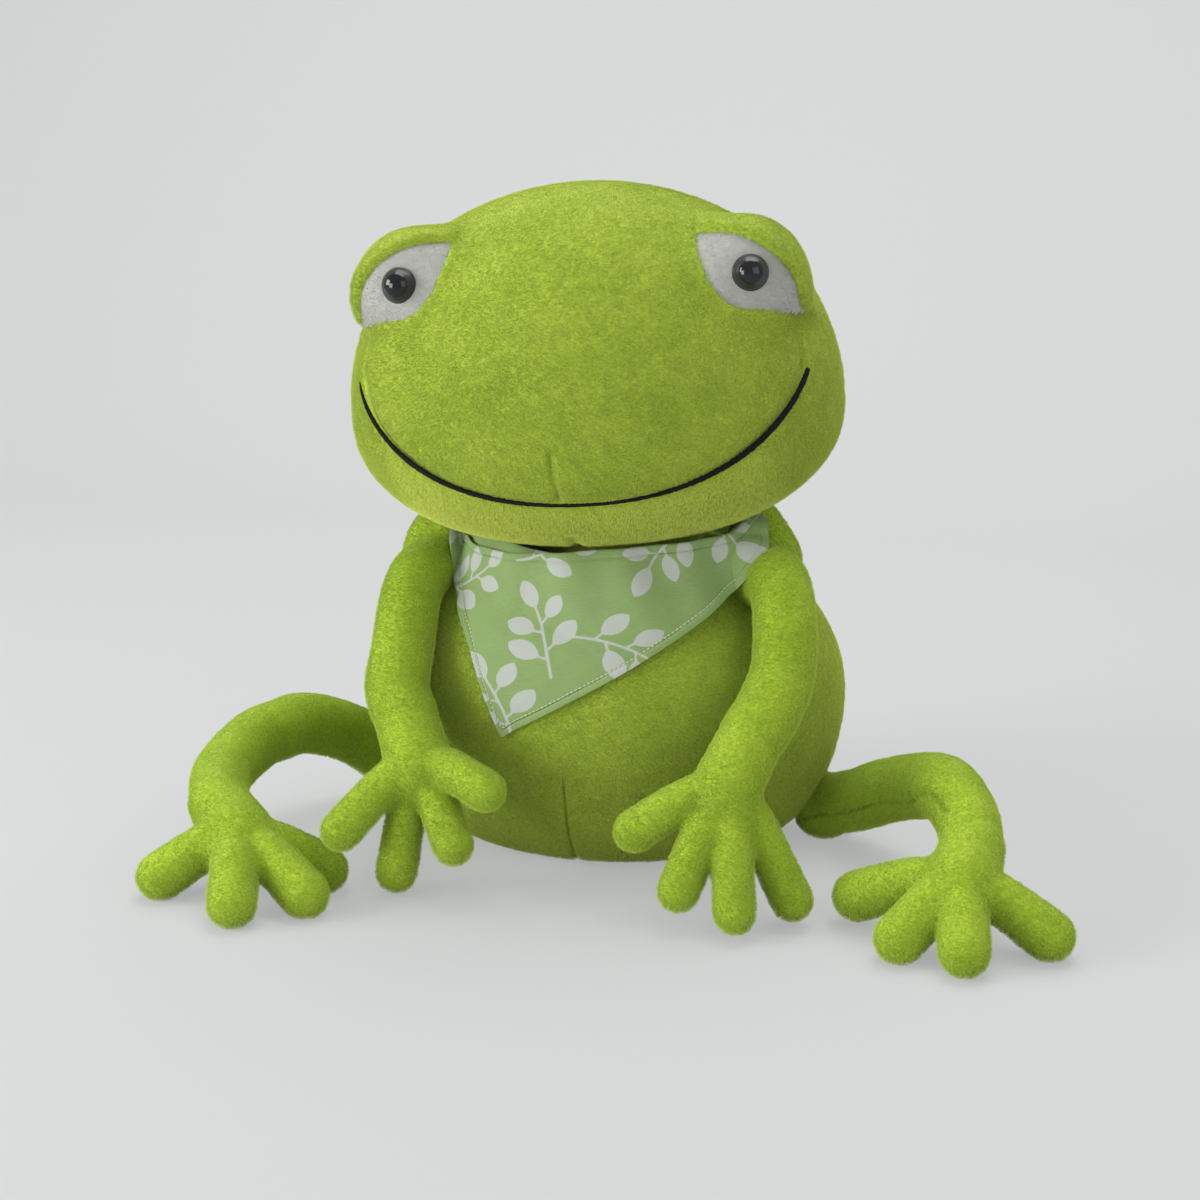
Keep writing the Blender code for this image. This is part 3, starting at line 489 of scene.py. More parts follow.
def cotton_look():
    """Plain-woven cotton with a printed leaf pattern, whose distance in millimetres is on the mesh."""
    look = Nodes("bandana_cotton")
    flat = look.attribute("cloth", "Vector")
    leaf = look.attribute("leaf")
    parts = look.tree.nodes.new("ShaderNodeSeparateXYZ")
    look.tree.links.new(flat, parts.inputs[0])
    warp = look.math("SINE", look.times(parts.outputs[0], math.tau / 0.42))
    weft = look.math("SINE", look.times(parts.outputs[1], math.tau / 0.42))
    weave = look.times(warp, weft)
    slubs = look.noise(look.scaled(flat, (0.35, 2.6, 1.0)), 1.0, 3.0, 0.6)
    faded = look.noise(flat, 0.09, 2.0)
    tone = look.ranged(look.add(look.times(weave, 0.10), slubs), 0.2, 0.8)
    ground = look.mix(tone, shade(COTTON, 0.84), shade(COTTON, 1.10))
    ground = look.mix(look.ranged(faded, 0.35, 0.65, 0.0, 0.35), ground, (0.27, 0.42, 0.12))
    ragged = look.add(leaf, look.times(look.math("SUBTRACT", slubs, 0.5), 0.25))
    ink = look.ranged(ragged, 0.14, -0.14)
    print_colour = look.mix(tone, shade(PRINT, 0.92), PRINT)
    colour = look.mix(ink, ground, print_colour)
    height = look.add(look.times(weave, 0.5), slubs)
    look.set(
        Base_Color=colour, Roughness=0.88, Sheen_Weight=0.15, Normal=look.bump(height, 0.00016, 0.55),
        Specular_IOR_Level=0.25,
    )
    return look.look


def simple_cloth(name, colour, scale):
    look = Nodes(name)
    place = look.place()
    weave = look.noise(place, scale, 3.0, 0.7)
    look.set(
        Base_Color=look.mix(weave, shade(colour, 0.7), colour), Roughness=0.9,
        Normal=look.bump(weave, 0.0003, 0.5),
    )
    return look.look


def grow_pile(piece, weights, per_mm2, out, comb, radius, slot=2, group="pile", seed=3, scatter=0.00006, children=14):
    """Particle hair: short fibres that stand out by one length and lean by the comb's, in metres."""
    levels = np.round(np.clip(weights, 0, 1) * 8) / 8
    area = sum(face.area * levels[list(face.vertices)].mean() for face in piece.data.polygons) * 1e6
    made = piece.vertex_groups.new(name=group)
    for level in np.unique(levels):
        made.add(np.flatnonzero(levels == level).tolist(), float(level), "REPLACE")
    piece.modifiers.new("pile", "PARTICLE_SYSTEM")
    system = piece.particle_systems[-1]
    system.seed = seed
    system.vertex_group_density = group
    pile = system.settings
    pile.type = "HAIR"
    pile.use_advanced_hair = True
    pile.count = int(area * per_mm2 / (children + 1))
    pile.hair_step = 3
    pile.render_step = 3
    pile.display_step = 2
    pile.emit_from = "FACE"
    pile.distribution = "RAND"
    pile.normal_factor = out / 4
    pile.object_align_factor = [c / 4 for c in comb]
    pile.factor_random = scatter
    pile.child_type = "INTERPOLATED"
    pile.child_percent = 0
    pile.rendered_child_count = children
    pile.clump_factor = 0.02
    pile.child_length = 1.0
    pile.roughness_1 = 0.00008
    pile.roughness_1_size = 0.004
    pile.roughness_2 = 0.0003
    pile.roughness_2_size = 0.6
    pile.root_radius = 1.0
    pile.tip_radius = 0.35
    pile.radius_scale = radius
    pile.material = slot
    piece.show_instancer_for_render = True


PLUSH = plush_skin("body_plush_skin")
PILE = pile_look("body_pile", PLUSH_ROOT, PLUSH_TIP)
# Lighter pile for the chin panel: partly its own pile direction, partly painted light from below.
CHIN_PILE = pile_look("chin_pile", CHIN_ROOT, CHIN_TIP)
# The limbs' copies of the plush skin and pile, tinted with painted light and shade.
LIMB = plush_skin("limb_plush_skin", tuple(LIMB_LIGHT_AND_SHADE_TINT * PLUSH_LIGHT), PLUSH_DARK)
LIMB_PILE = pile_look("limb_pile", LIMB_ROOT, tuple(LIMB_LIGHT_AND_SHADE_TINT * PLUSH_TIP), 0.22)
FLEECE_SKIN = fleece_skin()
# The fleece pile's slightly darker root is painted shade deep in the pile.
FLEECE_PILE = pile_look("fleece_pile", shade(FLEECE, 0.94), FLEECE, 0.1, (1.0, 1.0, 1.0))
COTTON_LOOK = cotton_look()
SINK = 0.7 * MM
PILE_OUT = 1.05 * MM
PILE_COMB = (0.0, -0.05 * MM, -0.55 * MM)
PILE_RADIUS = 0.000085
PILE_PER_MM2 = 8.5


def dress(piece, weights=None, out=PILE_OUT, seed=3):
    weights = np.ones(len(piece.data.vertices)) if weights is None else weights
    grow_pile(piece, weights, PILE_PER_MM2, out, PILE_COMB, PILE_RADIUS, seed=seed)


# Torso

def torso_skin():
    outline = catmull(np.array(TORSO_OUTLINE), 12)
    rows, columns = 150, 320
    share = np.linspace(0.004, 0.996, rows) * (len(outline) - 1)
    index = np.minimum(share.astype(int), len(outline) - 2)
    part = (share - index)[:, None]
    line = outline[index] * (1 - part) + outline[index + 1] * part
    angle = all_round(columns)
    angle = angle - 0.2 * np.sin(4 * angle)
    wide, deep, tall = TORSO_SIZE
    x = np.outer(np.maximum(line[:, 0], 0), np.sin(angle)) * wide / 2
    y = -np.outer(np.maximum(line[:, 0], 0), np.cos(angle)) * deep / 2
    z = np.outer(line[:, 1] * (tall + 0.0005) - 0.0005, np.ones(columns))
    verts = np.stack([x, y, z], -1).reshape(-1, 3)
    faces = grid_quads(rows, columns, True)
    normal = normals_of(verts, faces)
    front = (verts[:, 1] < 0) & (verts[:, 2] < 0.046)
    back = verts[:, 1] > 0
    side = np.abs(np.abs(np.degrees(np.arctan2(verts[:, 0], -verts[:, 1]))) - 90)
    dart = np.where(front, hump(verts[:, 0] + 0.0005, 0.0009) * smoothstep(0.046, 0.032, verts[:, 2]), 0)
    spine = np.where(back, hump(verts[:, 0], 0.0010), 0)
    flank = hump(side * 0.0014, 0.0010)
    seam = np.clip(dart + spine + flank, 0, 1)
    verts = verts - normal * (seam * 0.0010 + SINK * 0.7)[:, None]
    verts[:, 2] = np.maximum(verts[:, 2], 0.0)
    piece = make_piece("torso_skin", verts, faces, PLUSH, PILE)
    # The seam mask darkens the skin: painted shade in the grooves.
    put_attribute(piece, "seam", np.clip(seam - 0.35, 0, 1) * 1.3)
    turn = np.arctan2(verts[:, 0], -verts[:, 1]) / math.pi
    hem = np.interp(turn, [row[0] for row in BANDANA_HEM], [row[1] for row in BANDANA_HEM]) * tall
    bare = (verts[:, 2] > hem - 0.001) | (verts[:, 2] < 0.0006) | (seam > 0.35)
    dress(piece, np.where(bare, 0.0, 1.0), seed=11)
    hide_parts("torso")
    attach(piece, "torso")


# Head and face, in the head's own axes until it is placed

def head_reach(way):
    depth = np.where(way[:, 1] < 0, FACE, NAPE)
    level = (way[:, 0] / (HEAD_WIDTH / 2)) ** 2 + (way[:, 1] / depth) ** 2
    up = (level + (way[:, 2] / CROWN) ** 2) ** -0.5
    down = (level ** (JAW_FULLNESS / 2) + np.abs(way[:, 2] / JAW) ** JAW_FULLNESS) ** (-1 / JAW_FULLNESS)
    return np.where(way[:, 2] >= 0, up, down)


def mound_centre(side):
    return HEAD_CENTRE + np.array((EYE_SPACING / 2 * side, -EYE_FORWARD, EYE_RISE))


def sight(side, aim):
    splay, droop = aim
    return unit(np.array((
        math.sin(splay) * side, -math.cos(splay) * math.cos(droop), -math.sin(droop),
    )))


def head_field(points):
    """Rough distance outside the head with its two eye mounds, which run smoothly into it."""
    away = points - HEAD_CENTRE
    far = np.linalg.norm(away, axis=1)
    form = far - head_reach(away / far[:, None])
    for side in SIDES.values():
        mound = np.linalg.norm(points - mound_centre(side), axis=1) - MOUND_RADIUS
        part = np.clip(0.5 + 0.5 * (form - mound) / 0.010, 0, 1)
        form = form * (1 - part) + mound * part - 0.010 * part * (1 - part)
    return form


def head_surface(way):
    """The head's surface in some directions from its middle, mounds included."""
    far = np.full(len(way), 0.125)
    for _ in range(70):
        far -= head_field(HEAD_CENTRE + way * far[:, None]) * 0.8
    return HEAD_CENTRE + way * far[:, None]


def almond(points, side):
    """Distance outside the white patch's outline in metres, whether its upper edge is nearer, and to its corner."""
    view = sight(side, LID_AIM)
    out = unit(np.array((-view[1] * side, view[0] * side, 0.0)))
    up = np.cross(out * side, view) * -1.0
    up = up if up[2] > 0 else -up
    away = points - mound_centre(side) - sight(side, PATCH_AIM) * MOUND_RADIUS
    flat = np.column_stack([away @ out, away @ up])
    near = ((points - mound_centre(side)) @ view > -0.012) & (np.linalg.norm(flat, axis=1) < 0.034)
    upper, lower = catmull(np.array(LID_UPPER) * MM, 5), catmull(np.array(LID_LOWER) * MM, 5)
    outside = np.full(len(points), 0.05)
    above = np.zeros(len(points), bool)
    spot = flat[near]
    above_by, below_by = distance_to_line(spot, upper)[0], distance_to_line(spot, lower)[0]
    top = np.interp(spot[:, 0], upper[:, 0], upper[:, 1], -1.0, -1.0)
    bottom = np.interp(spot[:, 0], lower[:, 0], lower[:, 1], 1.0, 1.0)
    inside = (spot[:, 1] < top) & (spot[:, 1] > bottom)
    outside[near] = np.minimum(above_by, below_by) * np.where(inside, -1, 1)
    above[near] = above_by < below_by
    corner = np.where(near, np.linalg.norm(flat - upper[-1] - (0.001, -0.003), axis=1), 0.05)
    return outside, above, corner


# The dart below the smile, as directions from the head's middle at the face's depth: across, up
DART = ((-0.0058, -0.004), (-0.0056, -0.012), (-0.0050, -0.022))


def mouth_line(count):
    share = np.linspace(-1, 1, count)
    angle = MOUTH_ANGLE * share
    height = -MOUTH_DROP + (MOUTH_DROP + MOUTH_RISE) * np.abs(share) ** SMILE_SHARPNESS
    way = unit(np.stack([HEAD_WIDTH / 2 * np.sin(angle), -FACE * np.cos(angle), height], -1))
    return share, head_surface(way)


def head_world(points):
    return points @ HEAD_TURN.T + NECK


def head_pieces():
    way, faces = ball_grid(116)
    stretch = np.array((HEAD_WIDTH / 2, FACE, CROWN))
    way = unit(way * stretch)
    base = head_surface(way)
    normal = normals_of(base, faces)
    away = base - HEAD_CENTRE
    _, smile = mouth_line(121)
    face = base[:, 1] < HEAD_CENTRE[1]
    to_smile, _ = distance_to_line(base, smile)
    dart_line = head_surface(unit(np.array([(x, -FACE, z) for x, z in DART])))
    to_dart, _ = distance_to_line(base, dart_line)
    temple = smoothstep(0.060, 0.086, np.abs(away[:, 0])) * hump(away[:, 2] - 0.012, 0.030)
    offset = -SINK - 0.0009 * hump(to_smile, 0.0030) - 0.0010 * hump(to_dart, 0.0013) - 0.0013 * temple
    seam = hump(to_dart, 0.0007)
    offset += 0.0016 * smoothstep(-0.026, -0.044, away[:, 2]) * smoothstep(0.0, -0.030, away[:, 1])
    flank = np.where(away[:, 2] < 0.050, hump(away[:, 1] - 0.006, 0.0012), 0)
    offset -= 0.0010 * flank
    seam = np.maximum(seam, flank * 0.8)
    to_cheek = np.full(len(base), 1.0)
    for end, side in ((smile[-1], 1), (smile[0], -1)):
        corner = base[np.argmin(almond(base, side)[2])]
        chord = corner + (end - corner) * np.linspace(0.10, 0.94, 6)[:, None]
        to_cheek = np.minimum(to_cheek, distance_to_line(base, head_surface(unit(chord - HEAD_CENTRE)))[0])
    offset -= 0.0012 * hump(to_cheek, 0.0014)
    seam = np.maximum(seam, hump(to_cheek, 0.0008))
    back = (away[:, 1] > 0) & (away[:, 2] < 0.06)
    seam = np.maximum(seam, np.where(back, hump(away[:, 0], 0.0007), 0))
    offset -= np.where(back, 0.0009 * hump(away[:, 0], 0.0012), 0)
    under = np.where(face & (away[:, 2] < -0.036), hump(away[:, 0] + 0.003, 0.0018), 0)
    offset -= 0.0012 * under
    pile = np.where((to_smile < 0.0019) | (to_dart < 0.0009) | (to_cheek < 0.0009), 0.0, 1.0)
    patches = []
    for name, side in SIDES.items():
        outside, above, corner = almond(base, side)
        lip = np.where(above, 0.0029 * hump(outside - 0.001, 0.0055), 0.0004 * hump(outside, 0.004))
        lip -= 0.0018 * hump(corner, 0.006)
        rise = smoothstep(-0.0013, 0.0004, outside)
        near = outside < 0.034
        offset = np.where(near, offset * rise + (rise - 1) * 0.0030 + lip * rise, offset)
        seam = np.where(near & (outside < 0.004), 0, seam)
        pile = np.where(outside < -0.0002, 0.0, pile)
        dent = np.linalg.norm(base - mound_centre(side) - sight(side, EYE_AIM[side]) * MOUND_RADIUS, axis=1)
        patch_offset = -0.0001 - 0.0009 * hump(dent, 0.0085) - 0.0006 * smoothstep(-0.003, 0.001, outside)
        keep = (outside < 0.0022)[faces].all(axis=1)
        used, compact = np.unique(faces[keep], return_inverse=True)
        patch = base[used] + normal[used] * patch_offset[used, None]
        patches.append((name, head_world(patch), compact.reshape(-1, 4), dent[used]))
    skin = base + normal * offset[:, None]
    piece = make_piece("head_skin", head_world(skin), faces, PLUSH, PILE, CHIN_PILE)
    # The seam mask darkens the skin: painted shade in the grooves.
    put_attribute(piece, "seam", seam)
    # The chin panel below the smile gets a lighter skin and pile: partly its own pile direction, partly painted light
    # from below.
    order = np.argsort(smile[:, 0])
    below = base[:, 2] - np.interp(base[:, 0], smile[order, 0], smile[order, 2])
    chin = smoothstep(0.0005, -0.0015, below) * smoothstep(0.074, 0.056, np.abs(away[:, 0])) * face
    put_attribute(piece, "nap", chin)
    centre = away[:, 2] > -0.045
    dress(piece, np.where(centre | face, pile, 0.0) * (1 - chin), seed=5)
    grow_pile(
        piece, pile * chin, PILE_PER_MM2, PILE_OUT, PILE_COMB, PILE_RADIUS, slot=3, group="chin_pile", seed=6
    )
    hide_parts("head", "brow_left", "brow_right")
    finish_head_piece(piece)
    for name, verts, quads, dent in patches:
        patch = make_piece(f"eye_patch_skin_{name}", verts, quads, FLEECE_SKIN, FLEECE_PILE)
        weights = np.where(dent < EYE_RADIUS, 0.0, 1.0)
        grow_pile(patch, weights, 14.0, 0.4 * MM, (0, 0, -0.15 * MM), 0.00005, seed=9, scatter=0.00001)
        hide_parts(f"eye_patch_{name}")
        finish_head_piece(patch)


def finish_head_piece(piece):
    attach(piece, "head")


def eyes():
    """Black safety eyes: a domed button with a rolled rim, as high and wide as the source's."""
    bulge = (EYE_RADIUS**2 + EYE_DOME**2) / (2 * EYE_DOME)
    widest = math.asin(EYE_RADIUS / bulge)
    dome = [(bulge * math.sin(a), EYE_DOME - bulge * (1 - math.cos(a))) for a in np.linspace(0.004, widest * 0.94, 22)]
    radius, height = dome[-1]
    rim = [(radius + 0.0003 * math.sin(a), height - 0.0009 * (1 - math.cos(a))) for a in np.linspace(0.3, math.pi, 8)]
    profile = np.array(dome + rim + [(0.0016, height - 0.002), (0.0016, -0.004)])
    ring_share = smoothstep(0.62, 0.74, profile[:, 0] / EYE_RADIUS)
    profile[:, 1] -= 0.00032 * ring_share
    columns = 72
    angle = all_round(columns)
    look = eye_gloss()
    for name, side in SIDES.items():
        aim = sight(side, EYE_AIM[side])
        turn = np.array(Vector(aim).to_track_quat("Z", "Y").to_matrix())
        ring = np.stack([
            np.outer(profile[:, 0], np.cos(angle)), np.outer(profile[:, 0], np.sin(angle)),
            np.outer(profile[:, 1], np.ones(columns)),
        ], -1).reshape(-1, 3)
        base = MOUND_RADIUS - (2 * EYE_RADIUS) ** 2 / (8 * MOUND_RADIUS) + 0.0005
        local = ring @ turn.T + mound_centre(side) + aim * base
        tip = len(local)
        top = mound_centre(side) + aim * (base + EYE_DOME)
        faces = [tuple(quad[::-1]) for quad in grid_quads(len(profile), columns, True)]
        faces += [(tip, (k + 1) % columns, k) for k in range(columns)][::-1]
        verts = head_world(np.vstack([local, top]))
        mesh = bpy.data.meshes.new(f"eye_button_{name}")
        mesh.from_pydata(verts.tolist(), [], [tuple(int(v) for v in face) for face in faces])
        work = bmesh.new()
        work.from_mesh(mesh)
        bmesh.ops.recalc_face_normals(work, faces=work.faces)
        work.to_mesh(mesh)
        work.free()
        mesh.shade_smooth()
        mesh.materials.append(look)
        piece = add_object(f"eye_button_{name}", mesh)
        put_attribute(piece, "ring", np.append(np.repeat(ring_share, columns), 0.0))
        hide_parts(f"eye_{name}")
        finish_head_piece(piece)


def smile():
    """The embroidered line: a raised satin band whose width swells and thins as in the photo."""
    count = 700
    share, line = mouth_line(count)
    line = line - unit(line - HEAD_CENTRE) * 0.0007
    along = np.gradient(line, axis=0)
    out = unit(line - HEAD_CENTRE)
    across = unit(np.cross(along, out))
    out = unit(np.cross(across, along))
    marks = (-1.0, -0.97, -0.85, -0.62, -0.35, -0.12, 0.08, 0.22, 0.45, 0.70, 0.85, 0.96, 1.0)
    widths = (0.2, 0.45, 0.85, 1.10, 0.90, 0.62, 0.55, 0.60, 0.95, 1.20, 1.25, 1.15, 0.9)
    chance = np.random.default_rng(4)
    half = np.interp(share, marks, widths) * MM
    ragged = 1 + 0.16 * chance.standard_normal((2, count)).clip(-1.5, 1.5)
    steps = np.linspace(0, math.pi, 11)
    length = length_along(line)
    verts = []
    for k in range(count):
        for angle in steps:
            reach = half[k] * (ragged[0, k] if angle < math.pi / 2 else ragged[1, k])
            lift = 0.0012 * math.sin(angle) * min(1.0, half[k] / (0.7 * MM)) * (0.94 + 0.06 * ragged[0, k])
            verts.append(line[k] + across[k] * reach * math.cos(angle) + out[k] * (lift + 0.0006))
    verts = head_world(np.array(verts))
    thread = thread_look("smile_thread", THREAD, 0.5)
    piece = make_piece("smile_stitching", verts, grid_quads(count, len(steps)), thread)
    put_attribute(piece, "along", np.repeat(length / MM, len(steps)))
    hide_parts("mouth_stitching")
    finish_head_piece(piece)


# Limbs

CREASE_REACH = 0.011 * 1.6


def sweep(points, radii, sides=22):
    """A closed tube along a path, with a dome at each end: its vertices and faces."""
    points, radii = np.asarray(points, float), np.asarray(radii, float)
    first, last = unit(points[1] - points[0]), unit(points[-1] - points[-2])
    dome = np.radians((78.0, 58.0, 38.0, 18.0))
    start = [points[0] - first * radii[0] * math.sin(a) for a in dome]
    end = [points[-1] + last * radii[-1] * math.sin(a) for a in dome[::-1]]
    line = np.array([*start, *points, *end])
    wide = np.array([*(radii[0] * np.cos(dome)), *radii, *(radii[-1] * np.cos(dome[::-1]))])
    way = unit(np.gradient(line, axis=0))
    side = unit(np.cross(way[0], (0.3, 0.5, 0.8)))
    verts = []
    angle = all_round(sides)
    for point, radius, ahead in zip(line, wide, way):
        side = unit(side - ahead * (side @ ahead))
        other = np.cross(ahead, side)
        verts.append(point + radius * (np.outer(np.cos(angle), side) + np.outer(np.sin(angle), other)))
    verts = np.vstack(verts)
    faces = [tuple(q) for q in grid_quads(len(line), sides, True)[:, ::-1].tolist()]
    faces.append(tuple(range(sides)))
    faces.append(tuple(range(len(verts) - sides, len(verts)))[::-1])
    return verts, faces


def ball(place, radius):
    place = np.asarray(place, float)
    return sweep([place - (0, 0, 0.0002), place + (0, 0, 0.0002)], [radius, radius])


def fused(parts, voxel, smoothing):
    """Overlapping closed forms as one smooth quad skin."""
    work = bmesh.new()
    for verts, faces in parts:
        made = [work.verts.new(v) for v in verts]
        for face in faces:
            work.faces.new([made[k] for k in face])
    bmesh.ops.recalc_face_normals(work, faces=work.faces)
    mesh = bpy.data.meshes.new("fused")
    work.to_mesh(mesh)
    work.free()
    helper = add_object("fused", mesh)
    fuse = helper.modifiers.new("fuse", "REMESH")
    fuse.mode = "VOXEL"
    fuse.voxel_size = voxel
    soften = helper.modifiers.new("soften", "SMOOTH")
    soften.factor = 0.5
    soften.iterations = smoothing
    graph = bpy.context.evaluated_depsgraph_get()
    shaped = bpy.data.meshes.new_from_object(helper.evaluated_get(graph))
    verts = np.empty(len(shaped.vertices) * 3)
    shaped.vertices.foreach_get("co", verts)
    faces = np.array([tuple(p.vertices) for p in shaped.polygons if len(p.vertices) == 4])
    bpy.data.objects.remove(helper)
    bpy.data.meshes.remove(mesh)
    bpy.data.meshes.remove(shaped)
    return verts.reshape(-1, 3), faces


def paw_parts(wrist, wrist_radius, palm, palm_radius, tips, root_radius, tip_radius, web_radius):
    wrist, palm = np.asarray(wrist), np.asarray(palm)
    tips = [np.asarray(tip) for tip in tips]
    middle = np.mean(tips, axis=0)
    parts = [sweep([wrist, (wrist + palm) / 2, palm], [wrist_radius, (wrist_radius + palm_radius) / 2, palm_radius])]
    parts += [ball(palm, palm_radius), ball(palm + (middle - palm) * 0.10, palm_radius)]
    tips = [palm + (tip - palm) * 0.93 for tip in tips]
    parts += [ball(palm + ((one + two) / 2 - palm) * 0.26, web_radius) for one, two in zip(tips[1:], tips[2:])]
    parts.append(ball(palm + (tips[0] * 0.45 + tips[1] * 0.55 - palm) * 0.20, web_radius))
    for tip in tips:
        knuckle = palm + (tip - palm) * 0.45
        knuckle[2] += np.linalg.norm(tip - palm) * 0.06
        path = catmull([palm, knuckle, tip], 8)
        parts.append(sweep(path, np.linspace(root_radius, tip_radius, len(path))))
    return parts


def resting(point, radius):
    return np.array((point[0], point[1], max(point[2], radius - 0.0017)))


def limb_seam(verts, normal, line, way):
    """A stitched seam along a limb, on the side that faces a direction: how near each vertex is to it."""
    line = np.asarray(line)
    _, at = distance_to_line(verts, line)
    place = np.clip(at * (len(line) - 1), 0, len(line) - 1.001)
    index = place.astype(int)
    part = (place - index)[:, None]
    core = line[index] * (1 - part) + line[index + 1] * part
    along = unit(line[index + 1] - line[index])
    away = verts - core
    cross = unit(np.cross(along, np.asarray(way, float)))
    reach = np.sum(away * cross, axis=1)
    facing = np.sum(away * np.asarray(way, float), axis=1) > 0
    return np.where(facing & (at < 0.97), hump(reach, 0.0008), 0)


def split_skin(names, verts, faces, point, way):
    """Cuts a skin in two at a plane. The halves share their edge's places and normals."""
    normal = normals_of(verts, faces)
    centre = verts[faces].mean(axis=1)
    beyond = (centre - point) @ way > 0
    pieces = []
    for name, keep in ((names[0], ~beyond), (names[1], beyond)):
        used, compact = np.unique(faces[keep], return_inverse=True)
        piece = make_piece(name, verts[used], compact.reshape(-1, 4), LIMB, LIMB_PILE)
        piece.data.normals_split_custom_set_from_vertices(normal[used].tolist())
        pieces.append((piece, used))
    return pieces


def limb(names, side, root, path, marks, radii, paw, seam_way, first, caps=()):
    """One limb as two skins that meet half way down its lower part."""
    (middle_mark, end_mark), steps = marks, 6
    line = catmull([root + np.array(share) * length for share, length in path], steps)
    parts = [sweep(line, radii(len(line)))]
    joint, end = line[middle_mark * steps], line[end_mark * steps]
    parts += [ball(line[0], first), *caps, *paw]
    verts, faces = fused(parts, 0.0013, 9)
    normal = normals_of(verts, faces)
    seam = limb_seam(verts, normal, line[:end_mark * steps], seam_way) if seam_way else np.zeros(len(verts))
    from_end = np.linalg.norm(verts - end, axis=1)
    seam = seam * (from_end > 0.014)
    crease = hump((verts - end) @ unit(end - joint), 0.0016) * (from_end < CREASE_REACH)
    verts = verts - normal * (0.0002 + 0.0009 * seam + 0.0003 * crease)[:, None]
    verts[:, 2] = np.maximum(verts[:, 2], 0.0002)
    names = [f"{name}_skin_{side}" for name in names]
    halves = split_skin(names, verts, faces, (joint + end) / 2, unit(end - joint))
    for piece, used in halves:
        # The seam mask darkens the skin: painted shade in the groove.
        put_attribute(piece, "seam", np.clip(seam[used] * 1.1, 0, 1))
        bare = (verts[used][:, 2] < 0.0008) | (seam[used] > 0.5)
        dress(piece, np.where(bare, 0.0, 1.0), seed=21)
    return halves[0][0], halves[1][0], joint, end


def arms_and_legs():
    for side, sign in SIDES.items():
        mirror = np.array((sign, 1, 1))
        shoulder, hip = np.array(SHOULDER) * mirror, np.array(HIP) * mirror
        wrist = shoulder + np.array(ARM_PATH[side][-1]) * ARM_LENGTH
        tips = [resting(wrist + np.array(tip) * HAND_LENGTH, 0.0072) for tip in FINGERS[side]]
        hand = paw_parts(
            wrist, 0.0106, wrist + np.array(PALM[side]) * HAND_LENGTH, 0.0112, tips, 0.0060, 0.0070, 0.0076
        )
        upper, lower, elbow, wrist_at = limb(
            ("upper_arm", "hand"), side, shoulder, [(share, ARM_LENGTH) for share in ARM_PATH[side]],
            (2, 4), lambda n: np.interp(np.linspace(0, 1, n), (0, 0.25, 0.6, 1), (0.0118, 0.0104, 0.0109, 0.0110)),
            hand, None, 0.0120,
            [
                ball(shoulder + (across * sign, back, up), radius)
                for across, back, up, radius in SHOULDER_BALLS[side]
            ],
        )
        bend(upper, wrist_at - shoulder, 0.008)
        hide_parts(f"upper_arm_{side}", f"forearm_{side}")
        bend(lower, (0.0, -0.55, -0.83), 0.006)
        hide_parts(f"hand_{side}")
        ankle = hip + np.array(LEG_PATH[side][-1]) * LEG_LENGTH
        tips = [resting(ankle + np.array(tip) * FOOT_LENGTH, 0.0088) for tip in TOES[side]]
        foot = paw_parts(
            ankle, 0.0104, ankle + np.array(SOLE[side]) * FOOT_LENGTH, 0.0120, tips, 0.0072, 0.0083, 0.0088
        )
        upper, lower, knee, ankle_at = limb(
            ("thigh", "foot"), side, hip, [(share, LEG_LENGTH) for share in LEG_PATH[side]],
            (3, 6), lambda n: np.interp(np.linspace(0, 1, n), (0, 0.3, 0.7, 1), (0.0108, 0.0112, 0.0110, 0.0099)),
            foot, (-0.1, -1.0, -0.1) if sign > 0 else (0.3, 0.9, -0.3), 0.0122,
        )
        bend(upper, ankle_at - hip, 0.009)
        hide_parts(f"thigh_{side}", f"shin_{side}")
        turn = (0.0, -0.5, -0.85) if side == "left" else (0.35, -0.5, -0.8)
        bend(lower, turn, 0.005)
        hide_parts(f"foot_{side}")


def bend(piece, way, reach):
    way = unit(np.asarray(way, float)) * reach
    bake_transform(piece)


def neck_skin():
    way, faces = ball_grid(40)
    gathers = 1 + 0.006 * np.cos(14 * np.arctan2(way[:, 0], way[:, 1])) * (1 - way[:, 2] ** 2)
    piece = make_piece("neck_skin", NECK + way * (NECK_RADIUS - 0.0004) * gathers[:, None], faces, PLUSH, PILE)
    # The seam mask darkens the skin: painted shade in the groove.
    put_attribute(piece, "seam", hump(way[:, 2], 0.02))
    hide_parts("neck")
    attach(piece, "neck")


# Bandana

SHOULDER_CLEARANCE = 0.0145 + 0.0026
HEM_INSET = 0.0038
ROLL_STEPS = 8
KNOT = (0.0, 0.0564, 0.10465)


def edge_rows(table, turns):
    path = catmull(np.array(table), 3)
    return np.stack([np.interp(turns, path[:, 0], path[:, k]) for k in (1, 2)], -1)


def torso_radius(height):
    outline = catmull(np.array(TORSO_OUTLINE), 3)
    top = outline[outline[:, 1] > 0.45]
    return np.interp(height, top[:, 1], top[:, 0])


def cloth_points(turn, height, reach, lift):
    wide, deep, tall = TORSO_SIZE
    full = np.where(height < 1, np.maximum(reach, torso_radius(np.minimum(height, 1))), reach)
    angle = turn * math.pi
    points = np.stack([
        (wide / 2 * full + lift) * np.sin(angle), -(deep / 2 * full + lift) * np.cos(angle), height * tall,
    ], -1)
    for sign in SIDES.values():
        shoulder = np.array(SHOULDER) * (sign, 1, 1)
        away = points - shoulder
        far = np.linalg.norm(away, axis=-1, keepdims=True)
        near = SHOULDER_CLEARANCE + lift[..., None]
        points = np.where(far < near, shoulder + away / far * near, points)
    return points


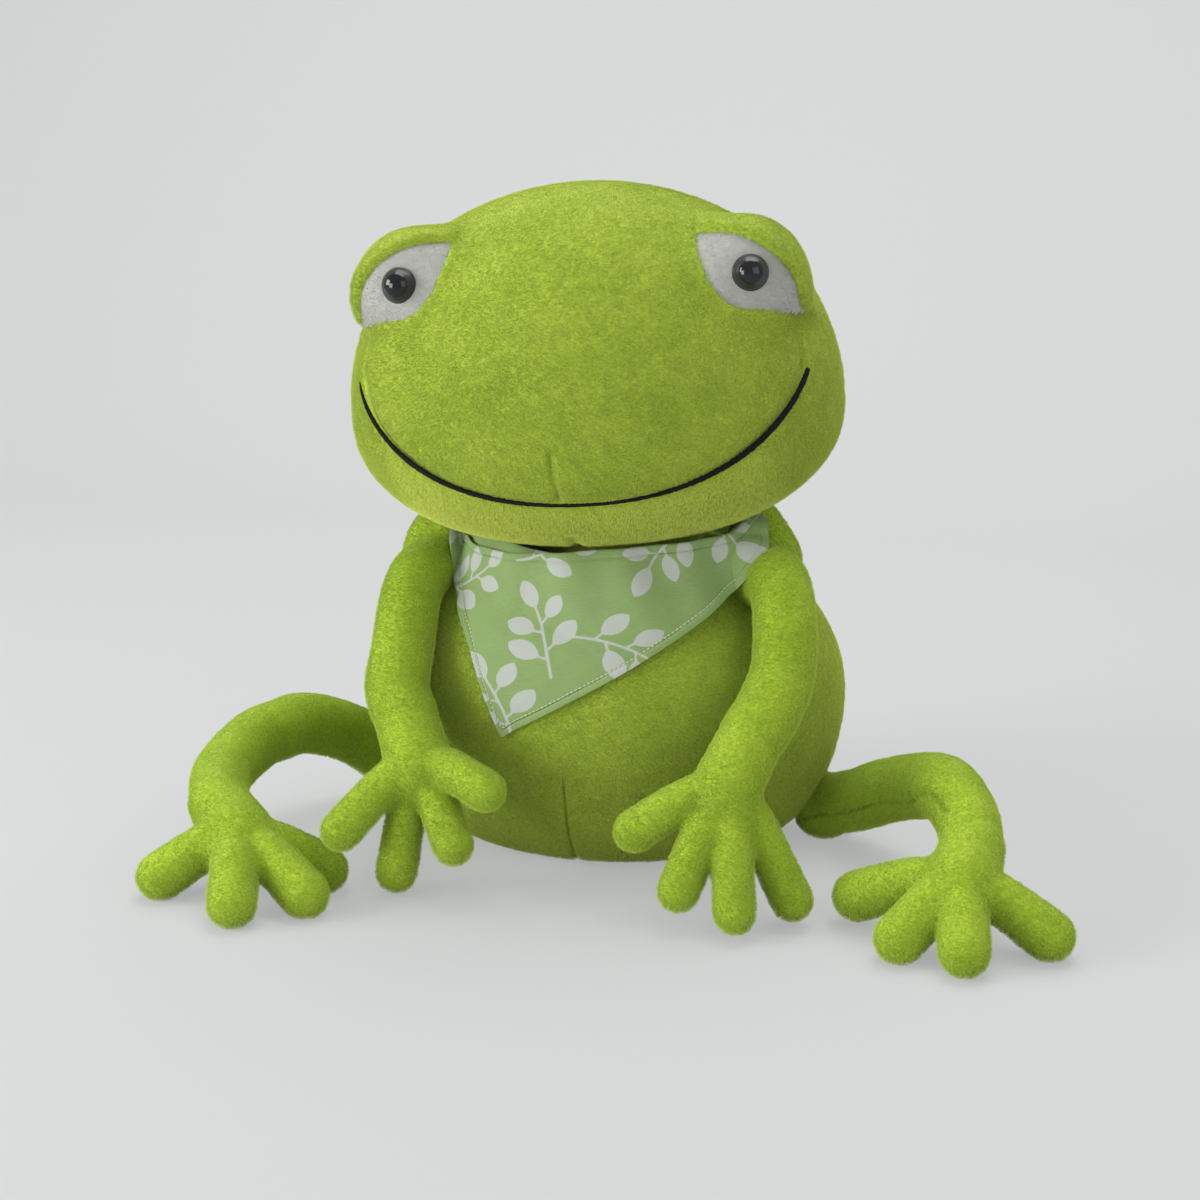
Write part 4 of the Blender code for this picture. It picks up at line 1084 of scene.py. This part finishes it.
def one_sprig(root, heading, curl):
    """A stem with two pairs of leaves and one at its tip: stems, leaves and points that keep others away."""
    stems, leaves, taken = [], [], []
    place = np.asarray(root, float)
    for step in range(8):
        after = place + 3.3 * np.array((math.cos(heading), math.sin(heading)))
        stems.append((place, after, 0.48))
        taken.append(after)
        place = after
        heading += curl / 8
        if step in (1, 2, 4, 5):
            side = 1 if step in (1, 4) else -1
            stalk = heading + side * 1.0
            stub = place + 3.0 * np.array((math.cos(stalk), math.sin(stalk)))
            stems.append((place, stub, 0.42))
            leaves.append((stub, stalk - side * 0.08, 11.8 if step < 3 else 10.8))
    leaves.append((place, heading, 12.0))
    for start, way, length in leaves:
        taken += [start + share * length * np.array((math.cos(way), math.sin(way))) for share in (0.1, 0.4, 0.7, 1.0)]
    return stems, leaves, np.array(taken)


def leaf_sprigs():
    """Generic sprigs in the flat cloth's millimetres, scattered as close as they fit."""
    chance = np.random.default_rng(7)
    stems, leaves, taken = [], [], np.empty((0, 2))
    for _ in range(9000):
        root = chance.uniform((-215.0, -125.0), (215.0, 45.0))
        made = one_sprig(root, chance.uniform(0, math.tau), chance.choice((-1, 1)) * chance.uniform(0.3, 0.8))
        near = taken[np.abs(taken - root).max(axis=1) < 46.0]
        if len(near) and np.min(np.linalg.norm(made[2][:, None] - near[None], axis=2)) < 5.0:
            continue
        stems += made[0]
        leaves += made[1]
        taken = np.vstack([taken, made[2]])
    return stems, leaves


def print_distance(flat):
    """Distance in millimetres to the nearest printed leaf or stem, below zero inside it."""
    best = np.full(len(flat), 5.0)
    stems, leaves = leaf_sprigs()
    for start, end, half in stems:
        near = np.abs(flat - (start + end) / 2).max(axis=1) < 5
        points = flat[near]
        along = end - start
        t = np.clip((points - start) @ along / (along @ along), 0, 1)
        best[near] = np.minimum(best[near], np.linalg.norm(points - start - t[:, None] * along, axis=1) - half)
    for root, heading, length in leaves:
        way = np.array((math.cos(heading), math.sin(heading)))
        middle = root + way * length / 2
        near = np.linalg.norm(flat - middle, axis=1) < length
        points = flat[near] - middle
        a, b = points @ way, points @ np.array((-way[1], way[0]))
        half, sagitta = length / 2, length * 0.28
        radius = (half**2 + sagitta**2) / (2 * sagitta)
        outside = np.maximum(np.hypot(a, b - sagitta + radius), np.hypot(a, b + sagitta - radius)) - radius
        best[near] = np.minimum(best[near], outside)
    return best


def cotton_piece(name, verts, faces, flat, thickness):
    """A sheet of the printed cotton. flat is each vertex's place in the flat cloth, in millimetres."""
    piece = make_piece(name, verts, faces, COTTON_LOOK)
    put_attribute(piece, "leaf", print_distance(flat))
    put_vectors(piece, "cloth", np.column_stack([flat, np.zeros(len(flat))]))
    thicken = piece.modifiers.new("thickness", "SOLIDIFY")
    thicken.thickness = thickness
    thicken.offset = 0
    return piece


def bandana():
    front = np.linspace(-0.36, 0.50, 420)
    turns = np.concatenate([np.linspace(-0.94, -0.36, 110)[:-1], front, np.linspace(0.50, 0.94, 90)[1:]])
    rows = 130
    top, hem = edge_rows(BANDANA_TOP, turns), edge_rows(BANDANA_HEM, turns)
    ripple = 0.0016 * (1 + np.cos(7 * math.pi * turns))
    layers = []
    flats = []
    for row in range(rows + 1):
        part = row / rows
        place = hem * (1 - part) + top * part
        height, reach = place[:, 0], place[:, 1]
        lift = 0.0014 + ripple * np.maximum(0, height - 0.6)
        fold = 0.0007 * np.sin(turns * 61 + height * 9) * smoothstep(0.72, 0.95, height)
        fold += 0.0009 * np.sin((turns * 0.8 + height * 1.3) * 17) * smoothstep(0.55, 0.9, height)
        down = np.abs(hem - top) @ (TORSO_SIZE[2], TORSO_SIZE[0] / 2)
        for inset in (part * down, (1 - part) * down):
            lift = lift + 0.0005 * smoothstep(0.0044, 0.0036, inset) - 0.0007 * hump(inset - HEM_INSET, 0.0007)
        lift = lift + fold
        layers.append(cloth_points(turns, height, reach, lift))
        flats.append(np.stack([turns * math.pi * 70.0, height * 132.0 - 132.0], -1))
    inner = []
    behind = smoothstep(0.06, -0.22, turns) * smoothstep(-0.50, -0.34, turns)
    for step in range(1, ROLL_STEPS + 1):
        place = layers[rows].copy()
        roll = step / ROLL_STEPS
        towards = -unit(place * (1, 1, 0))
        place = place + towards * (0.0016 * math.sin(roll * math.pi / 2) + 0.0022 * roll)
        place[:, 2] += 0.0007 * math.sin(roll * math.pi) - 0.0075 * roll**2 * (1 - behind)
        place[:, 2] += behind * (0.0065 * smoothstep(0.35, 1.0, roll) - 0.0020 * math.sin(min(roll * 2, 1) * math.pi))
        inner.append(place)
    verts = np.vstack(layers + inner)
    flat = np.vstack(flats + [flats[rows] + (0.0, step) for step in range(1, ROLL_STEPS + 1)])
    columns = len(turns)
    faces = grid_quads(rows + 1 + ROLL_STEPS, columns)
    piece = cotton_piece("bandana_cloth", verts, faces, flat, 0.0007)
    hem_stitches = stitches(verts.reshape(-1, columns, 3))
    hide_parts("bandana")
    for made in (piece, hem_stitches):
        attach(made, "torso")
    return piece, hem_stitches


def stitches(grid):
    """Lockstitches along the hem, a little in from the edge and 1.7 mm apart."""
    inset = []
    for column in range(grid.shape[1]):
        line = grid[:, column]
        steps = length_along(line)
        inset.append([np.interp(HEM_INSET, steps, line[:, k]) for k in range(3)])
    inset = np.array(inset)
    length = length_along(inset)
    verts, faces = [], []
    for place in np.arange(0.001, length[-1] - 0.002, 0.0017):
        ends = np.array([[np.interp(p, length, inset[:, k]) for k in range(3)] for p in (place, place + 0.0012)])
        out = unit((ends[0] + ends[1]) / 2 * (1, 1, 0)) * 0.00042
        made, quads = sweep(
            [ends[0] + out * 0.9, ends.mean(axis=0) + out * 1.7, ends[1] + out * 0.9], [0.00020, 0.00034, 0.00020], 6
        )
        faces += [tuple(k + len(verts) for k in face) for face in quads]
        verts += made.tolist()
    return make_piece("bandana_stitches", verts, faces, simple_cloth("hem_thread", HEM_THREAD, 3000.0))


def bandana_knot():
    """The tied ends behind the neck: a folded knot and two pointed tails."""
    way, faces = ball_grid(40)
    angle = np.arctan2(way[:, 2], way[:, 0])
    folds = 1 + 0.09 * np.sin(angle * 5 + way[:, 1] * 4) + 0.05 * np.sin(way[:, 2] * 14 + way[:, 0] * 5)
    verts = KNOT + way * np.array((0.0092, 0.0062, 0.0077)) * folds[:, None]
    flats = np.column_stack([way[:, 0] * 12 + angle * 4, way[:, 2] * 12 + 40])
    verts, faces, flats = [verts], [faces], [flats]
    count = len(verts[0])
    for sign in SIDES.values():
        rows, columns = 46, 22
        t, s = np.meshgrid(np.linspace(0, 1, rows), np.linspace(-1, 1, columns), indexing="ij")
        half = 0.0028 + 0.0040 * np.sin(np.minimum(t * 1.5, 1) * math.pi / 2) * smoothstep(1.02, 0.55, t)
        drop, out = 0.031 * t, 0.004 + 0.0165 * t**1.2
        x = sign * (0.0045 + 0.0105 * t) + s * half
        y = KNOT[1] + out + 0.0011 * np.cos(s * 4 + t * 3) + sign * 0.0006
        z = KNOT[2] - drop + s * half * 0.15 * sign
        tail = np.stack([x, y, z], -1).reshape(-1, 3)
        verts.append(tail)
        faces.append(grid_quads(rows, columns) + count)
        flats.append(np.stack([s * half * 1000 + sign * 30, -t * 34 - 60], -1).reshape(-1, 2))
        count += len(tail)
    verts, flats = np.vstack(verts), np.vstack(flats)
    piece = cotton_piece("bandana_knot_cloth", verts, np.vstack(faces), flats, 0.0008)
    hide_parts("bandana_knot")
    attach(piece, "torso")
    return piece


def hidden_parts():
    """The bean bag and the lock washers stay as solids, in finished materials."""
    lining = simple_cloth("bean_bag_lining", (0.62, 0.60, 0.55), 1200.0)
    moulded = simple_cloth("washer_moulding", (0.60, 0.60, 0.58), 500.0)
    for name, look in (("seat_bean_bag", lining), ("eye_washer_left", moulded), ("eye_washer_right", moulded)):
        for slot in bpy.data.objects[name].material_slots:
            slot.material = look


# Studio and camera

def studio():
    line = [(-1.6, 0.0), (0.55, 0.0)]
    line += [(0.55 + 0.45 * math.sin(a), 0.45 - 0.45 * math.cos(a)) for a in np.linspace(0.1, math.pi / 2, 14)]
    line.append((1.0, 2.4))
    across = np.linspace(-2.2, 2.2, 3)
    verts = np.array([(x, y, z) for y, z in line for x in across])
    look = Nodes("studio_paper")
    grain = look.noise(look.place(), 900.0, 3.0)
    colour = look.mix(grain, shade(STUDIO, 0.985), STUDIO)
    look.set(Base_Color=colour, Roughness=0.9, Specular_IOR_Level=0.1)
    tree = look.tree
    path = tree.nodes.new("ShaderNodeLightPath")
    glow = look.node("ShaderNodeEmission", 0, {"Color": GLOW, "Strength": 1.0})
    seen = look.math("MAXIMUM", path.outputs["Is Camera Ray"], path.outputs["Is Glossy Ray"])
    seen = look.math("MAXIMUM", seen, path.outputs["Is Transmission Ray"])
    blend = look.node("ShaderNodeMixShader", 0, {0: look.times(seen, 0.55), 1: look.shader.outputs[0], 2: glow})
    output = next(node for node in tree.nodes if node.type == "OUTPUT_MATERIAL")
    tree.links.new(blend, output.inputs["Surface"])
    floor = make_piece("studio_floor", verts, grid_quads(len(line), 3)[:, ::-1], look.look)
    world = bpy.data.worlds.new("studio_world")
    bpy.context.scene.world = world
    world.use_nodes = True
    back = world.node_tree.nodes["Background"]
    back.inputs["Color"].default_value = (*GLOW, 1.0)
    back.inputs["Strength"].default_value = 0.80
    for name, place, target, size, power in (
        ("key_softbox", (-1.20, -0.62, 0.58), (0.0, 0.0, 0.12), 0.6, 10.2),
        ("low_softbox", (-0.80, -1.00, 0.27), (0.0, 0.0, 0.12), 0.5, 5.5),
        ("fill_softbox", (0.95, -0.85, 0.55), (0.0, 0.0, 0.10), 0.9, 2.8),
        ("top_softbox", (0.05, 0.30, 1.15), (0.0, 0.0, 0.12), 0.9, 8.5),
    ):
        light = bpy.data.lights.new(name, "AREA")
        light.size = size
        light.energy = power
        lamp = add_object(name, light)
        lamp.location = place
        lamp.rotation_euler = (Vector(target) - Vector(place)).to_track_quat("-Z", "Y").to_euler()
    bpy.context.scene.view_settings.view_transform = "Standard"


def camera():
    azimuth, elevation, distance = math.radians(14.0), math.radians(13.5), 0.78
    target = Vector((-0.0045, 0.0, 0.086))
    back = Vector((
        math.sin(azimuth) * math.cos(elevation), -math.cos(azimuth) * math.cos(elevation), math.sin(elevation),
    ))
    made = bpy.data.cameras.new("camera")
    made.lens = 62.0
    made.sensor_width = 36.0
    holder = add_object("camera", made)
    holder.location = target + back * distance
    holder.rotation_euler = (-back).to_track_quat("-Z", "Y").to_euler()
    bpy.context.scene.camera = holder


camera()
torso_skin()
neck_skin()
head_pieces()
eyes()
smile()
arms_and_legs()
cloth, hem = bandana()
knot = bandana_knot()
hidden_parts()
studio()
